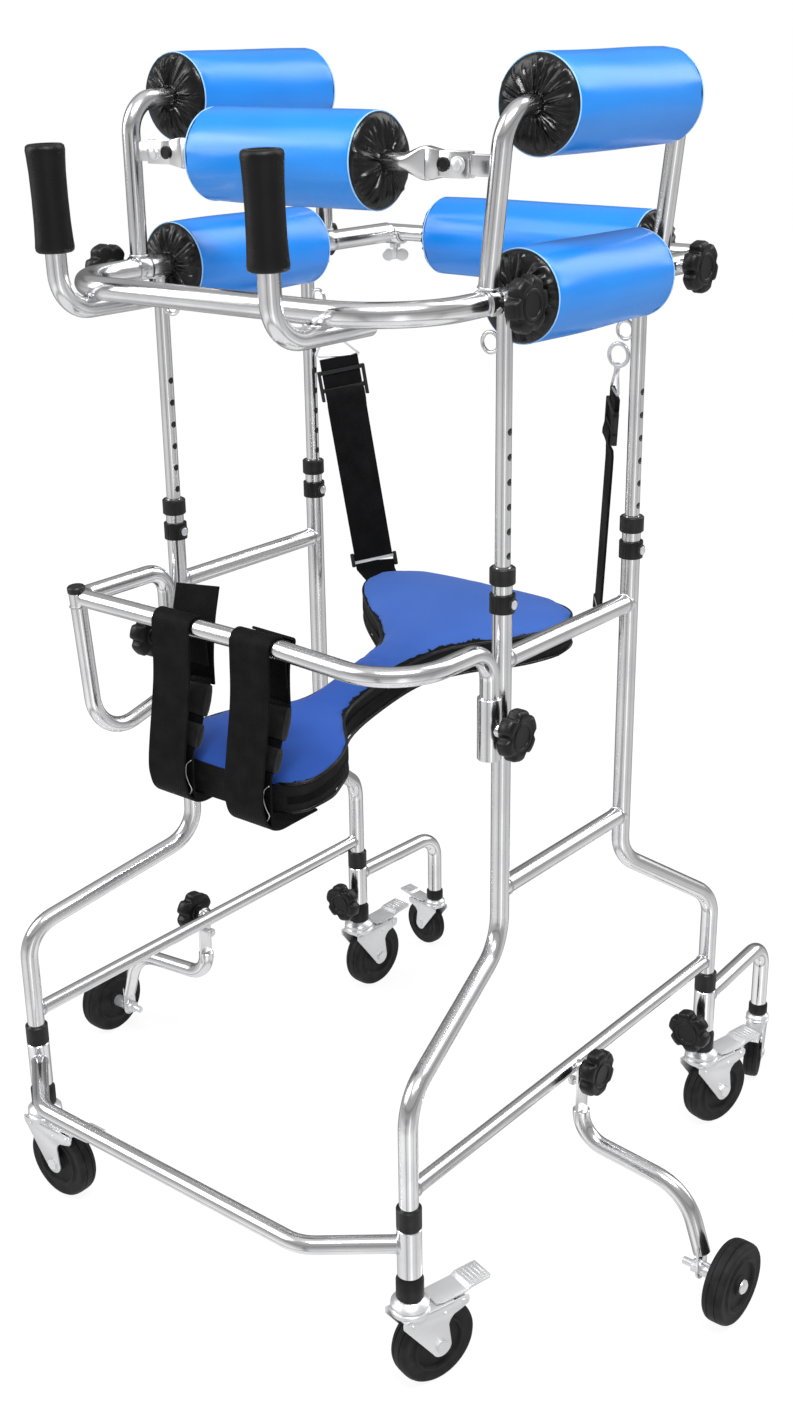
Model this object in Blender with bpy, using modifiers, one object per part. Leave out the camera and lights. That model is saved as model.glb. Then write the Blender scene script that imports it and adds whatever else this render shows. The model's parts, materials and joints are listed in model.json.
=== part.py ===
"""Forearm rollator: a standing and walking frame on eight wheels.

The user stands inside, facing -Y, so +X is the user's left. Z is 0 on the floor.
Lengths are metres and angles are degrees.
"""
from math import cos, pi, radians, sin, tan

import bmesh
import bpy
from mathutils import Matrix, Vector

# Fits and roundness
GAP = 0.0003
WELD_SINK = 0.001
TUBE_SIDES = 10
ROUND_SIDES = 20
SMALL_SIDES = 8
HEX_SIDES = 6
BEND_STEP = 30
CUT_PAST = 0.010

# Side frames
POST_X = 0.2156
POST_Y = 0.1124
POST_RADIUS = 0.0095
POST_TOP_Z = 0.768
LEG_X = 0.2655
FRONT_LEG_Y = -0.324
REAR_LEG_Y = 0.2317
FRONT_UPPER_CORNER_Z = 0.376
FRONT_LOWER_CORNER_Z = 0.321
REAR_UPPER_CORNER_Z = 0.387
REAR_LOWER_CORNER_Z = 0.304
LEG_BEND_RADIUS = 0.042
MIDDLE_RAIL_RADIUS = 0.0095
UPPER_RAIL_Z = 0.677
LOWER_MIDDLE_RAIL_Z = 0.4366
LEG_RAIL_RADIUS = 0.008
LEG_RAIL_Z = 0.221
COLLAR_RADIUS = 0.0123
COLLAR_HEIGHT = 0.0165
LEG_COLLAR_Z = 0.1935
LEG_COLLAR_HEIGHT = 0.023
PLUG_RADIUS = 0.0137
PLUG_TOP_Z = 0.128

# Inner posts and their height holes
INNER_RADIUS = 0.0074
INNER_FOOT_Z = 0.56
HOLE_PITCH = 0.023
HOLE_RADIUS = 0.0034
HOLE_DEPTH = 0.0035
CATCH_Z = 0.7336
HOLE_COUNT = 8
HOLE_SIDES = 6
HEIGHT_STEPS_DOWN = 5

# Height catches: a half clip with a pin and a round head
CATCH_HEIGHT = 0.018
CATCH_OUTER_RADIUS = 0.0123
CATCH_HALF_WRAP = 80
CATCH_STEPS = 6
CATCH_PIN_RADIUS = 0.0027
CATCH_HEAD_RADIUS = 0.0048
CATCH_HEAD_REACH = 0.0022

# Upper frame
RING_Z = 1.010
RAIL_RADIUS = 0.0111
RING_FRONT_Y = -0.258
RING_BEND_RADIUS = 0.085
BACK_BAR_Y = 0.264
STRAP_RING_RADIUS = 0.009
STRAP_RING_WIRE = 0.0018
FRONT_STRAP_RING_DROP = 0.038
REAR_STRAP_RING_DROP = 0.057
STRAP_RING_SINK = 0.0012

# Hand grips, by side: x, rear end of the tube, y of the upright, foam's lower end
GRIP_TUBE_RADIUS = 0.0098
GRIP_WELD_SINK = 0.0022
GRIP_BEND_RADIUS = 0.036
GRIP_RADIUS = 0.017
GRIP_LENGTH = 0.0945
GRIP_LEAN = 0.004
GRIP_CAP = 0.004
LEFT_GRIP = {"x": 0.128, "tail_y": -0.192, "upright_y": -0.3165, "foam_z": 1.0505}
RIGHT_GRIP = {"x": -0.160, "tail_y": -0.167, "upright_y": -0.2925, "foam_z": 1.0455}

# Rolls
ROLL_RADIUS = 0.043
ROLL_END_RADIUS = 0.034
ROLL_END_DEPTH = 0.013
ROLL_NECK_RADIUS = 0.0145
ROLL_CROWN_SHARE = 0.02
ROLL_SHOULDER_SHARE = 0.75
ROLL_ROWS = 3
ROLL_SLIT_SHARE = 0.8
FOREARM_ROLL_RADIUS = 0.0425
FOREARM_ROLL_FRONT_Y = {"left": -0.088, "right": -0.0912}
FOREARM_ROLL_REAR_Y = 0.104
LEFT_ARMPIT_ROLL_Y = (-0.090, 0.110)
RIGHT_ARMPIT_ROLL_Y = (-0.075, 0.118)
BACK_ROLL_X = (-0.137, 0.136)
CHEST_ROLL_X = (-0.100, 0.097)

# Armpit frames
ARMPIT_TUBE_RADIUS = 0.009
ARMPIT_FRONT_Y = -0.139
ARMPIT_REAR_Y = 0.144
ARMPIT_RISE = 0.161
ARMPIT_TOP_Z = RING_Z + ARMPIT_RISE
ARMPIT_BEND_RADIUS = 0.032
ARMPIT_TILT_LEFT = 6.5
CLAMP_WIDTH = 0.016
CLAMP_RADIUS = 0.0142
CLAMP_MOUTH_DROP = 0.004

# Chest bar
CHEST_DROP = 0.0475
CHEST_Z = ARMPIT_TOP_Z - CHEST_DROP
CHEST_TUBE_RADIUS = 0.008
CHEST_RIGHT_BOLT_X = -0.179
CHEST_LEFT_BOLT_X = 0.188
EAR_THICKNESS = 0.004
EAR_HALF_HEIGHT = 0.009
CHEEK_THICKNESS = 0.0025
CHEST_BOLT_RADIUS = 0.003
CHEST_BOLT_HEAD_RADIUS = 0.0062
CHEST_BOLT_HEAD_REACH = 0.004
CHEEK_REACH = 0.040
FORK_ROOM = 0.008
CHEST_TUBE_SINK = 0.006

# Back bar
BACK_TUBE_RADIUS = 0.0092
BACK_BEND_RADIUS = 0.034
BACK_TAIL_Y = 0.175
BACK_SOCKET_Y = 0.205
BACK_SOCKET_FLOOR_Y = 0.150
SADDLE_RADIUS = 0.0134
SADDLE_WIDTH = 0.024
SADDLE_X = -0.2115
SADDLE_LIP = 0.0083
SADDLE_LIP_Z = 0.002
BACK_BAR_END_INSET = 0.002
RIGHT_RAIL_END_Y = 0.2545

# Waist bar
BAR_RADIUS = 0.0095
SOCKET_Y = -0.1317
SOCKET_RADIUS = 0.0118
SOCKET_BOTTOM_Z = 0.583
SOCKET_TOP_Z = 0.6457
BAR_END_Z = 0.592
BAR_Z = 0.6945
BAR_FRONT_Y = -0.254
BAR_BOW_X = 0.072
BAR_BOW_BEND_RADIUS = 0.200
BAR_LEFT_CORNER_Y = -0.267
BAR_LEFT_CORNER_RADIUS = 0.060
BAR_LEFT_END_RADIUS = 0.032
BAR_RIGHT_CORNER_RADIUS = 0.014
BAR_RIGHT_END_RADIUS = 0.026
HOOP_TUBE_RADIUS = 0.0085
HOOP_TOP = (-0.2565, 0.704)
HOOP_CORNER = (-0.2425, 0.528)
HOOP_END = (-0.150, 0.5515)
HOOP_BEND_RADIUS = 0.045

# Seat, from front to rear: y, centre x, half width, height of the top
SEAT_STATIONS = (
    (-0.262, -0.018, 0.060, 0.566),
    (-0.240, -0.018, 0.095, 0.571),
    (-0.200, -0.017, 0.098, 0.578),
    (-0.165, -0.012, 0.080, 0.585),
    (-0.136, -0.008, 0.050, 0.590),
    (-0.105, -0.005, 0.031, 0.597),
    (0.000, -0.006, 0.033, 0.617),
    (0.040, -0.007, 0.058, 0.625),
    (0.080, -0.008, 0.103, 0.632),
    (0.120, -0.009, 0.136, 0.640),
    (0.155, -0.009, 0.134, 0.646),
    (0.178, -0.009, 0.088, 0.649),
)
SEAT_STEPS_PER_STATION = 2
SEAT_COLUMNS = 4
SEAT_THICKNESS = 0.046
SEAT_CROWN = 0.010
SEAT_TAB_Y = 0.142
SEAT_TAB_X = 0.156
SEAT_TAB_LENGTH = 0.045
SEAT_TAB_WIDTH = 0.022
SEAT_TAB_THICKNESS = 0.003
SEAT_TAB_Z = 0.626

# Straps
FRONT_STRAP_WIDTH = 0.051
FRONT_STRAP_X = {"left": 0.0345, "right": -0.0705}
STRAP_THICKNESS = 0.0025
STRAP_BAR_SLACK = 0.0008
STRAP_TAIL_Z = 0.640
STRAP_UNDER_Z = {"left": 0.513, "right": 0.515}
STRAP_UNDER_Y = -0.205
STRAP_FRONT_Y = -0.2815
REAR_STRAP_HOOK_DROP = 0.025
STRAP_CURL = ((0.022, -0.001), (0.006, 0.008), (0.0, 0.024))
STRAP_LEAD_IN = (0.001, 0.030)
STRAP_BAR_STEPS = 6
REAR_STRAP_WIDTH = 0.045
REAR_STRAP_ACROSS = (-0.64, 0.77)
REAR_STRAP_TOP = (0.1935, POST_Y, RING_Z - REAR_STRAP_RING_DROP - REAR_STRAP_HOOK_DROP)
REAR_STRAP_BEND = (0.183, 0.124, 0.889)
REAR_STRAP_END = (0.1534, 0.150, SEAT_TAB_Z + SEAT_TAB_THICKNESS / 2 + GAP)
REAR_HOOK_WIDTH = 0.014
REAR_BUCKLE_MARGIN = 0.003
REAR_BUCKLE_HEIGHT = 0.018
REAR_BUCKLE_THICKNESS = 0.006
REAR_RING_RADIUS = 0.011
REAR_RING_WIRE = 0.002

# Casters, in their own frame: the swivel is the Z axis and the wheel trails towards +Y
WHEEL_RADIUS = 0.044
AXLE_Z = 0.039
FLOOR_DROP = WHEEL_RADIUS - AXLE_Z
WHEEL_HALF_WIDTH = 0.0125
WHEEL_SIDES = 20
WHEEL_SHOULDER = 0.0035
CASTER_TRAIL = 0.026
AXLE_RADIUS = 0.004
FORK_INNER = 0.0143
FORK_SHEET = 0.0022
FORK_TOP_Z = 0.0865
FORK_TIP_RADIUS = 0.0115
FORK_BACK_Y = 0.0595
FORK_FRONT_DROP = 0.004
FORK_TIP_SWEEP = (205, 355)
FORK_TIP_STEPS = 3
FORK_REAR_EDGE = ((0.034, 0.064), (0.038, 0.0695), (0.055, 0.0745), (FORK_BACK_Y, 0.0785))
FORK_TOP_BACK_Y = 0.042
FORK_TOP_RISE = 0.0002
FORK_TOP_INSET = 0.002
AXLE_HEAD_REACH = 0.0025
PIN_HEAD_REACH = 0.001
HEAD_RADIUS = 0.0195
HEAD_CROWN_RADIUS = 0.0142
HEAD_SHOULDER_Z = 0.0967
HEAD_TOP_Z = 0.1017
CASTER_HEAD_SIDES = 8
STEM_RADIUS = 0.005
STEM_LENGTH = 0.022
PEDAL_PIVOT_Y = 0.052
PEDAL_PIVOT_Z = 0.082
PEDAL_PIN_RADIUS = 0.002
PEDAL_HALF_WIDTH = 0.013
PEDAL_SHEET = 0.0022
PEDAL_TIP_Y = 0.088
PEDAL_HEEL_Y = 0.022
PEDAL_ROOM = 0.0015
PEDAL_STEP_Y = 0.007
PEDAL_STEP_RUN = 0.004
PEDAL_STEP_RISE = 0.0035
PEDAL_TIP_RISE = 0.0045
PEDAL_LUG_RADIUS = 0.004
PEDAL_LUG_PLAY = 0.0012
SMALL_CASTER_RATIO = 0.725
SMALL_CASTER_DROP = FLOOR_DROP * (1 - SMALL_CASTER_RATIO)
CASTER_HEADING = {
    "front_left": 16,
    "front_right": 90,
    "rear_left": 14,
    "rear_right": 3.5,
    "arm_left": 160,
    "arm_right": -80,
}

# Rear arms
ARM_SLEEVE_RADIUS = 0.0122
ARM_SLEEVE_BOTTOM_Z = 0.1285
ARM_SLEEVE_TOP_Z = 0.1817
ARM_TUBE_RADIUS = 0.0095
ARM_TUBE_Z = 0.171
ARM_CASTER_X = 0.257
ARM_CASTER_Y = 0.390
ARM_BEND_RADIUS = 0.032
ARM_KNOB_Z = 0.140
FERRULE_RADIUS = 0.0115
FERRULE_HEIGHT = 0.014

# Front bow
BOW_Z = 0.1625
BOW_CORNER_X = 0.185
BOW_Y = -0.390
BOW_BEND_RADIUS = 0.045

# Side arms
SIDE_ARM_Y = -0.047
SIDE_STRIP_THICKNESS = 0.003
SIDE_STRIP_HALF_WIDTH = 0.0095
SIDE_STRIP_BOTTOM_Z = 0.160
SIDE_TUBE_RADIUS = 0.009
SIDE_TUBE_LOW_Z = 0.137
SIDE_TUBE_HIGH_X = 0.405
SIDE_TUBE_HIGH_Z = 0.125
SIDE_PLATE_X = 0.4275
SIDE_PLATE_BOTTOM_Z = 0.027
SIDE_PLATE_TOP_Z = 0.070
SIDE_WHEEL_X = 0.4625
SIDE_AXLE_INNER_X = 0.407
STOP_PIN_Z = 0.2005
STOP_PIN_RADIUS = 0.003
STOP_PIN_LENGTH = 0.014
STOP_PIN_HEAD = 0.001
STOP_NUT = (0.002, 0.006)
STOP_NUT_RADIUS = 0.0055
SIDE_BOSS_REACH = 0.0015
SIDE_STRIP_OVERLAP = 0.008
SIDE_PLATE_OVERLAP = 0.012
SIDE_PLATE_THICKNESS = 0.003
SIDE_BENDS = (0.032, 0.055)
SIDE_BOLT_RADIUS = 0.0075
SIDE_BOLT_HEAD = 0.004
SIDE_NUT_HEIGHT = 0.008

# Star knobs, in their own frame: Z is the stud's axis, 0 is the boss's face
KNOB_RADIUS = 0.024
KNOB_LOBES = 6
KNOB_WAVE = 0.0025
KNOB_POINTS_PER_LOBE = 4
KNOB_BODY = (0.008, 0.024)
KNOB_NECK_RADIUS = 0.0085
KNOB_STUD_RADIUS = 0.003
KNOB_STUD_SINK = 0.001
BOSS_RADIUS = 0.0065
BOSS_REACH = 0.004

SIDES = {"left": 1, "right": -1}


def clear_scene():
    for item in list(bpy.data.objects):
        bpy.data.objects.remove(item, do_unlink=True)


def new_collection(name):
    collection = bpy.data.collections.new(name)
    bpy.context.scene.collection.children.link(collection)
    return collection


clear_scene()
ROLLATOR = new_collection("forearm_rollator")
CUTTERS = new_collection("cutters")


# Materials
def principled(name, color, roughness, metallic):
    material = bpy.data.materials.new(name)
    material.use_nodes = True
    shader = material.node_tree.nodes["Principled BSDF"]
    shader.inputs["Base Color"].default_value = (*color, 1.0)
    shader.inputs["Roughness"].default_value = roughness
    shader.inputs["Metallic"].default_value = metallic
    return material


STEEL = principled("polished_steel", (0.80, 0.80, 0.81), 0.12, 1.0)
ZINC = principled("zinc_plate", (0.78, 0.79, 0.80), 0.28, 1.0)
BLUE_VINYL = principled("blue_vinyl", (0.02, 0.24, 0.80), 0.32, 0.0)
SEAT_BLUE = principled("seat_fabric", (0.03, 0.10, 0.50), 0.70, 0.0)
WEBBING = principled("black_webbing", (0.012, 0.012, 0.013), 0.80, 0.0)
FOAM = principled("black_foam", (0.015, 0.015, 0.016), 0.75, 0.0)
KNOB_PLASTIC = principled("black_plastic", (0.016, 0.016, 0.018), 0.42, 0.0)
TYRE = principled("black_rubber", (0.020, 0.020, 0.021), 0.55, 0.0)


# Meshes
def evaluated_mesh(item):
    graph = bpy.context.evaluated_depsgraph_get()
    graph.update()
    return bpy.data.meshes.new_from_object(item.evaluated_get(graph))


def helper_object(data):
    item = bpy.data.objects.new("helper", data)
    item.hide_render = True
    item.display_type = "WIRE"
    CUTTERS.objects.link(item)
    return item


def baked(data, modifier_type=None, **settings):
    """The mesh of a curve or mesh after one modifier, with loose caps welded."""
    item = helper_object(data)
    if modifier_type:
        modifier = item.modifiers.new(modifier_type.title(), modifier_type)
        for key, value in settings.items():
            setattr(modifier, key, value)
    mesh = evaluated_mesh(item)
    bpy.data.objects.remove(item)
    shape = bmesh.new()
    shape.from_mesh(mesh)
    bmesh.ops.remove_doubles(shape, verts=shape.verts, dist=1e-6)
    shape.to_mesh(mesh)
    shape.free()
    return mesh


def combined(solids, cutters=()):
    """One mesh: the union of the solids, less the cutters."""
    base = helper_object(solids[0])
    helpers = []
    for operation, meshes in (("UNION", solids[1:]), ("DIFFERENCE", cutters)):
        for mesh in meshes:
            helper = helper_object(mesh)
            modifier = base.modifiers.new(operation.title(), "BOOLEAN")
            modifier.operation = operation
            modifier.object = helper
            helpers.append(helper)
    result = evaluated_mesh(base)
    for item in [base] + helpers:
        bpy.data.objects.remove(item)
    return result


def primitive(create, matrix=Matrix(), **settings):
    shape = bmesh.new()
    create(shape, matrix=matrix, **settings)
    mesh = bpy.data.meshes.new("primitive")
    shape.to_mesh(mesh)
    shape.free()
    return mesh


def box(low, high):
    low = Vector(low)
    high = Vector(high)
    matrix = Matrix.Translation((low + high) / 2) @ Matrix.Diagonal((*(high - low), 1))
    return primitive(bmesh.ops.create_cube, matrix, size=1)


def rod(start, end, radius, sides=TUBE_SIDES, half_facet=False):
    """A round bar between two points, its facets turned by half of one where asked."""
    start = Vector(start)
    end = Vector(end)
    turn = (end - start).to_track_quat("Z", "Y").to_matrix().to_4x4()
    if half_facet:
        turn = turn @ Matrix.Rotation(pi / sides, 4, "Z")
    matrix = Matrix.Translation((start + end) / 2) @ turn
    return primitive(
        bmesh.ops.create_cone,
        matrix,
        cap_ends=True,
        segments=sides,
        radius1=radius,
        radius2=radius,
        depth=(end - start).length,
    )


def rounded_path(points, bend_radii):
    """The path through the points, with an arc in place of each inner corner."""
    corners = [Vector(point) for point in points]
    if not isinstance(bend_radii, (list, tuple)):
        bend_radii = [bend_radii] * (len(corners) - 2)
    path = [corners[0]]
    for before, corner, after, radius in zip(corners, corners[1:], corners[2:], bend_radii):
        back = (before - corner).normalized()
        ahead = (after - corner).normalized()
        turn = pi - back.angle(ahead)
        reach = radius * tan(turn / 2)
        centre = corner + (back + ahead).normalized() * radius / cos(turn / 2)
        first = corner + back * reach - centre
        last = corner + ahead * reach - centre
        steps = max(2, round(turn / radians(BEND_STEP)))
        for step in range(steps + 1):
            angle = turn * step / steps
            spoke = (first * sin(turn - angle) + last * sin(angle)) / sin(turn)
            path.append(centre + spoke)
    path.append(corners[-1])
    return path


def tube(points, radius, bend_radii=0.0, sides=TUBE_SIDES):
    """A closed round tube along a path with rounded corners."""
    path = rounded_path(points, bend_radii)
    curve = bpy.data.curves.new("tube", "CURVE")
    curve.dimensions = "3D"
    curve.bevel_depth = radius
    curve.bevel_resolution = (sides - 4) // 2
    curve.use_fill_caps = True
    spline = curve.splines.new("POLY")
    spline.points.add(len(path) - 1)
    for place, point in zip(spline.points, path):
        place.co = (*point, 1)
    return baked(curve)


def flat(outline, thickness):
    """A plate with the given outline in XY, its middle at z 0."""
    curve = bpy.data.curves.new("outline", "CURVE")
    curve.dimensions = "2D"
    curve.fill_mode = "BOTH"
    curve.extrude = thickness / 2
    spline = curve.splines.new("POLY")
    spline.points.add(len(outline) - 1)
    spline.use_cyclic_u = True
    for place, (x, y) in zip(spline.points, outline):
        place.co = (x, y, 0, 1)
    return baked(curve)


def turned(profile, sides=ROUND_SIDES):
    """A solid of revolution about Z, from (radius, z) points down the outer side."""
    mesh = bpy.data.meshes.new("profile")
    vertices = [(radius, 0, z) for radius, z in profile]
    edges = [(i, i + 1) for i in range(len(profile) - 1)]
    if profile[0][0] > 0:
        edges.append((len(profile) - 1, 0))
    mesh.from_pydata(vertices, edges, [])
    return baked(
        mesh,
        "SCREW",
        axis="Z",
        angle=2 * pi,
        steps=sides,
        render_steps=sides,
        use_merge_vertices=True,
        merge_threshold=1e-5,
        use_smooth_shade=False,
    )


def torus(centre, axis, radius, wire, sides=SMALL_SIDES, wire_sides=5):
    """A closed ring of round wire."""
    profile = []
    for step in range(wire_sides):
        angle = pi / 2 - 2 * pi * step / wire_sides
        profile.append((radius + wire * cos(angle), wire * sin(angle)))
    mesh = turned(profile, sides)
    turn = Vector(axis).to_track_quat("Z", "Y").to_matrix().to_4x4()
    mesh.transform(Matrix.Translation(centre) @ turn)
    return mesh


def moved(mesh, matrix):
    """A copy of the mesh, moved by the matrix."""
    copy = mesh.copy()
    copy.transform(matrix)
    return copy


def bore_for(radius, sides=TUBE_SIDES):
    """The corner radius of a faceted bore that clears a round of the given radius."""
    return (radius + GAP) / cos(pi / sides)


def arc(centre, radius, start, end, steps):
    """Points of an arc in a plane, its angles in degrees."""
    points = []
    for step in range(steps + 1):
        angle = radians(start + (end - start) * step / steps)
        points.append((centre[0] + radius * cos(angle), centre[1] + radius * sin(angle)))
    return points


# Placing finished parts
def box_centre_shift():
    """How far the frame moves along Y so that its box is centred on the origin."""
    front = BOW_Y - ARM_TUBE_RADIUS * cos(pi / TUBE_SIDES)
    heading = radians(CASTER_HEADING["arm_right"])
    pedal_reach = PEDAL_TIP_Y * cos(heading) + PEDAL_HALF_WIDTH * abs(sin(heading))
    rear = ARM_CASTER_Y + SMALL_CASTER_RATIO * pedal_reach
    return -(front + rear) / 2


ROOT = bpy.data.objects.new("rollator_origin", None)
ROLLATOR.objects.link(ROOT)
ROOT.location = (0, box_centre_shift(), FLOOR_DROP)


def add_part(name, mesh, material, origin=(0, 0, 0), rotation=None, local=False):
    """A named part whose origin lies on its joint's axis.

    A local mesh is already drawn about its own origin, and any other one is not.
    """
    if not local:
        mesh = moved(mesh, Matrix.Translation(-Vector(origin)))
    mesh.name = name
    mesh.materials.clear()
    mesh.materials.append(material)
    mesh.shade_smooth()
    mesh.set_sharp_from_angle(angle=radians(32))
    part = bpy.data.objects.new(name, mesh)
    part.location = origin
    if rotation is not None:
        part.rotation_euler = rotation.to_euler()
    part.parent = ROOT
    ROLLATOR.objects.link(part)
    return part


# Star knobs and the bosses that they screw into
def knob_mesh():
    points = KNOB_LOBES * KNOB_POINTS_PER_LOBE
    outline = []
    for step in range(points):
        angle = 2 * pi * step / points
        radius = KNOB_RADIUS - KNOB_WAVE * (1 - cos(KNOB_LOBES * angle))
        outline.append((radius * cos(angle), radius * sin(angle)))
    low, high = KNOB_BODY
    body = flat(outline, high - low)
    body.transform(Matrix.Translation((0, 0, (low + high) / 2)))
    stud_tip = -(BOSS_REACH + KNOB_STUD_SINK)
    neck = turned([
        (0, (low + high) / 2),
        (KNOB_NECK_RADIUS, (low + high) / 2),
        (KNOB_NECK_RADIUS, GAP),
        (KNOB_STUD_RADIUS, GAP),
        (KNOB_STUD_RADIUS, stud_tip),
        (0, stud_tip),
    ], HEX_SIDES)
    return combined([body, neck])


KNOB = knob_mesh()


class Clamp:
    """A star knob and its boss on the side of a tube."""

    def __init__(self, name, on_axis, direction, tube_radius):
        self.name = name
        self.axis = Vector(direction)
        self.tube_radius = tube_radius
        self.centre = Vector(on_axis)
        self.face = self.centre + self.axis * (tube_radius + BOSS_REACH)

    def boss(self):
        return rod(self.centre, self.face, BOSS_RADIUS)

    def bore(self):
        floor = self.centre + self.axis * (self.tube_radius - KNOB_STUD_SINK - 2 * GAP)
        return rod(floor, self.face + self.axis * BOSS_REACH, bore_for(KNOB_STUD_RADIUS))

    def add_knob(self):
        turn = self.axis.to_track_quat("Z", "Y")
        add_part(self.name, KNOB.copy(), KNOB_PLASTIC, self.face, turn, local=True)


def waist_clamp(side):
    sign = SIDES[side]
    centre = (sign * POST_X, SOCKET_Y, (SOCKET_BOTTOM_Z + SOCKET_TOP_Z) / 2)
    return Clamp("waist_knob_" + side, centre, (sign, 0, 0), SOCKET_RADIUS)


FRONT_RING_KNOB_Y = {"left": -0.124, "right": -0.1555}
REAR_RING_KNOB_Y = 0.172


def ring_clamps(side):
    sign = SIDES[side]
    front = (sign * POST_X, FRONT_RING_KNOB_Y[side], RING_Z)
    rear = (sign * POST_X, REAR_RING_KNOB_Y, RING_Z)
    return [
        Clamp("ring_knob_front_" + side, front, (sign, 0, 0), RAIL_RADIUS),
        Clamp("ring_knob_rear_" + side, rear, (sign, 0, 0), RAIL_RADIUS),
    ]


def arm_clamp(side):
    centre = (SIDES[side] * LEG_X, REAR_LEG_Y, ARM_KNOB_Z)
    return Clamp("rear_arm_knob_" + side, centre, (0, -1, 0), ARM_SLEEVE_RADIUS)


# Side frames
def post_path(side, end):
    """The outer post and leg from top to foot, for end -1 in front or 1 behind."""
    sign = SIDES[side]
    leg_y = FRONT_LEG_Y if end < 0 else REAR_LEG_Y
    upper_z = FRONT_UPPER_CORNER_Z if end < 0 else REAR_UPPER_CORNER_Z
    lower_z = FRONT_LOWER_CORNER_Z if end < 0 else REAR_LOWER_CORNER_Z
    post = (sign * POST_X, end * POST_Y)
    leg = (sign * LEG_X, leg_y)
    foot_z = (HEAD_TOP_Z + PLUG_TOP_Z) / 2
    return [(*post, POST_TOP_Z), (*post, upper_z), (*leg, lower_z), (*leg, foot_z)]


def collar(x, y, middle_z, height, radius=COLLAR_RADIUS):
    return rod((x, y, middle_z - height / 2), (x, y, middle_z + height / 2), radius)


def side_frame(side):
    sign = SIDES[side]
    x = sign * POST_X
    leg_x = sign * LEG_X
    solids = []
    cutters = []
    for end in (-1, 1):
        y = end * POST_Y
        leg_y = FRONT_LEG_Y if end < 0 else REAR_LEG_Y
        solids.append(tube(post_path(side, end), POST_RADIUS, LEG_BEND_RADIUS))
        solids.append(collar(x, y, POST_TOP_Z - COLLAR_HEIGHT / 2 + GAP, COLLAR_HEIGHT))
        solids.append(collar(leg_x, leg_y, LEG_COLLAR_Z, LEG_COLLAR_HEIGHT))
        plug_low = HEAD_TOP_Z + GAP
        plug = rod((leg_x, leg_y, plug_low), (leg_x, leg_y, PLUG_TOP_Z), PLUG_RADIUS)
        solids.append(plug)
        deepest = INNER_FOOT_Z - HEIGHT_STEPS_DOWN * HOLE_PITCH - CUT_PAST
        cutters.append(rod((x, y, deepest), (x, y, POST_TOP_Z + CUT_PAST), bore_for(INNER_RADIUS)))
        pin_hole_end = (x + POST_RADIUS * 2, y, CATCH_Z)
        cutters.append(rod((x, y, CATCH_Z), pin_hole_end, bore_for(CATCH_PIN_RADIUS)))
        stem_top = HEAD_TOP_Z + STEM_LENGTH + GAP
        stem_bore = rod((leg_x, leg_y, plug_low - CUT_PAST), (leg_x, leg_y, stem_top), bore_for(STEM_RADIUS))
        cutters.append(stem_bore)
    for z in (UPPER_RAIL_Z, LOWER_MIDDLE_RAIL_Z):
        solids.append(rod((x, -POST_Y, z), (x, POST_Y, z), MIDDLE_RAIL_RADIUS))
    rail = rod((leg_x, FRONT_LEG_Y, LEG_RAIL_Z), (leg_x, REAR_LEG_Y, LEG_RAIL_Z), LEG_RAIL_RADIUS)
    solids.append(rail)
    solids.append(rod((x, SOCKET_Y, SOCKET_BOTTOM_Z), (x, SOCKET_Y, SOCKET_TOP_Z), SOCKET_RADIUS))
    clamp = waist_clamp(side)
    solids.append(clamp.boss())
    cutters.append(clamp.bore())
    bore_low = SOCKET_BOTTOM_Z - CUT_PAST
    cutters.append(rod((x, SOCKET_Y, bore_low), (x, SOCKET_Y, SOCKET_TOP_Z + CUT_PAST), bore_for(BAR_RADIUS)))
    side_clamp = side_arm_clamp(side)
    solids.append(rod(side_clamp.centre, side_clamp.seat, BOSS_RADIUS))
    cutters.append(side_clamp.stud_hole())
    add_part("side_frame_" + side, combined(solids, cutters), STEEL)
    clamp.add_knob()
    side_clamp.add_knob()


class SideArmClamp:
    """The side arm's pivot: the rail's boss, the strip against it, and a star knob."""

    def __init__(self, side):
        self.sign = SIDES[side]
        self.name = "side_arm_knob_" + side
        self.axis = Vector((self.sign, 0, 0))
        self.centre = Vector((self.sign * LEG_X, SIDE_ARM_Y, LEG_RAIL_Z))
        self.seat = self.centre + self.axis * (LEG_RAIL_RADIUS + SIDE_BOSS_REACH)
        self.strip_inner = self.seat + self.axis * GAP
        self.strip_outer = self.strip_inner + self.axis * SIDE_STRIP_THICKNESS

    def stud_hole(self):
        start = self.strip_outer - self.axis * (BOSS_REACH + KNOB_STUD_SINK + 2 * GAP)
        return rod(start, self.strip_outer + self.axis * BOSS_REACH, bore_for(KNOB_STUD_RADIUS))

    def add_knob(self):
        turn = self.axis.to_track_quat("Z", "Y")
        add_part(self.name, KNOB.copy(), KNOB_PLASTIC, self.strip_outer, turn, local=True)


def side_arm_clamp(side):
    return SideArmClamp(side)


# Front bow
def front_stretcher():
    path = [
        (LEG_X, FRONT_LEG_Y, BOW_Z),
        (BOW_CORNER_X, BOW_Y, BOW_Z),
        (-BOW_CORNER_X, BOW_Y, BOW_Z),
        (-LEG_X, FRONT_LEG_Y, BOW_Z),
    ]
    solids = [tube(path, ARM_TUBE_RADIUS, BOW_BEND_RADIUS)]
    cutters = []
    for sign in SIDES.values():
        leg = (sign * LEG_X, FRONT_LEG_Y)
        low = (*leg, ARM_SLEEVE_BOTTOM_Z)
        high = (*leg, ARM_SLEEVE_TOP_Z)
        solids.append(rod(low, high, ARM_SLEEVE_RADIUS))
        cutters.append(rod((*leg, low[2] - CUT_PAST), (*leg, high[2] + CUT_PAST), bore_for(POST_RADIUS)))
    add_part("front_stretcher", combined(solids, cutters), STEEL)


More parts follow.
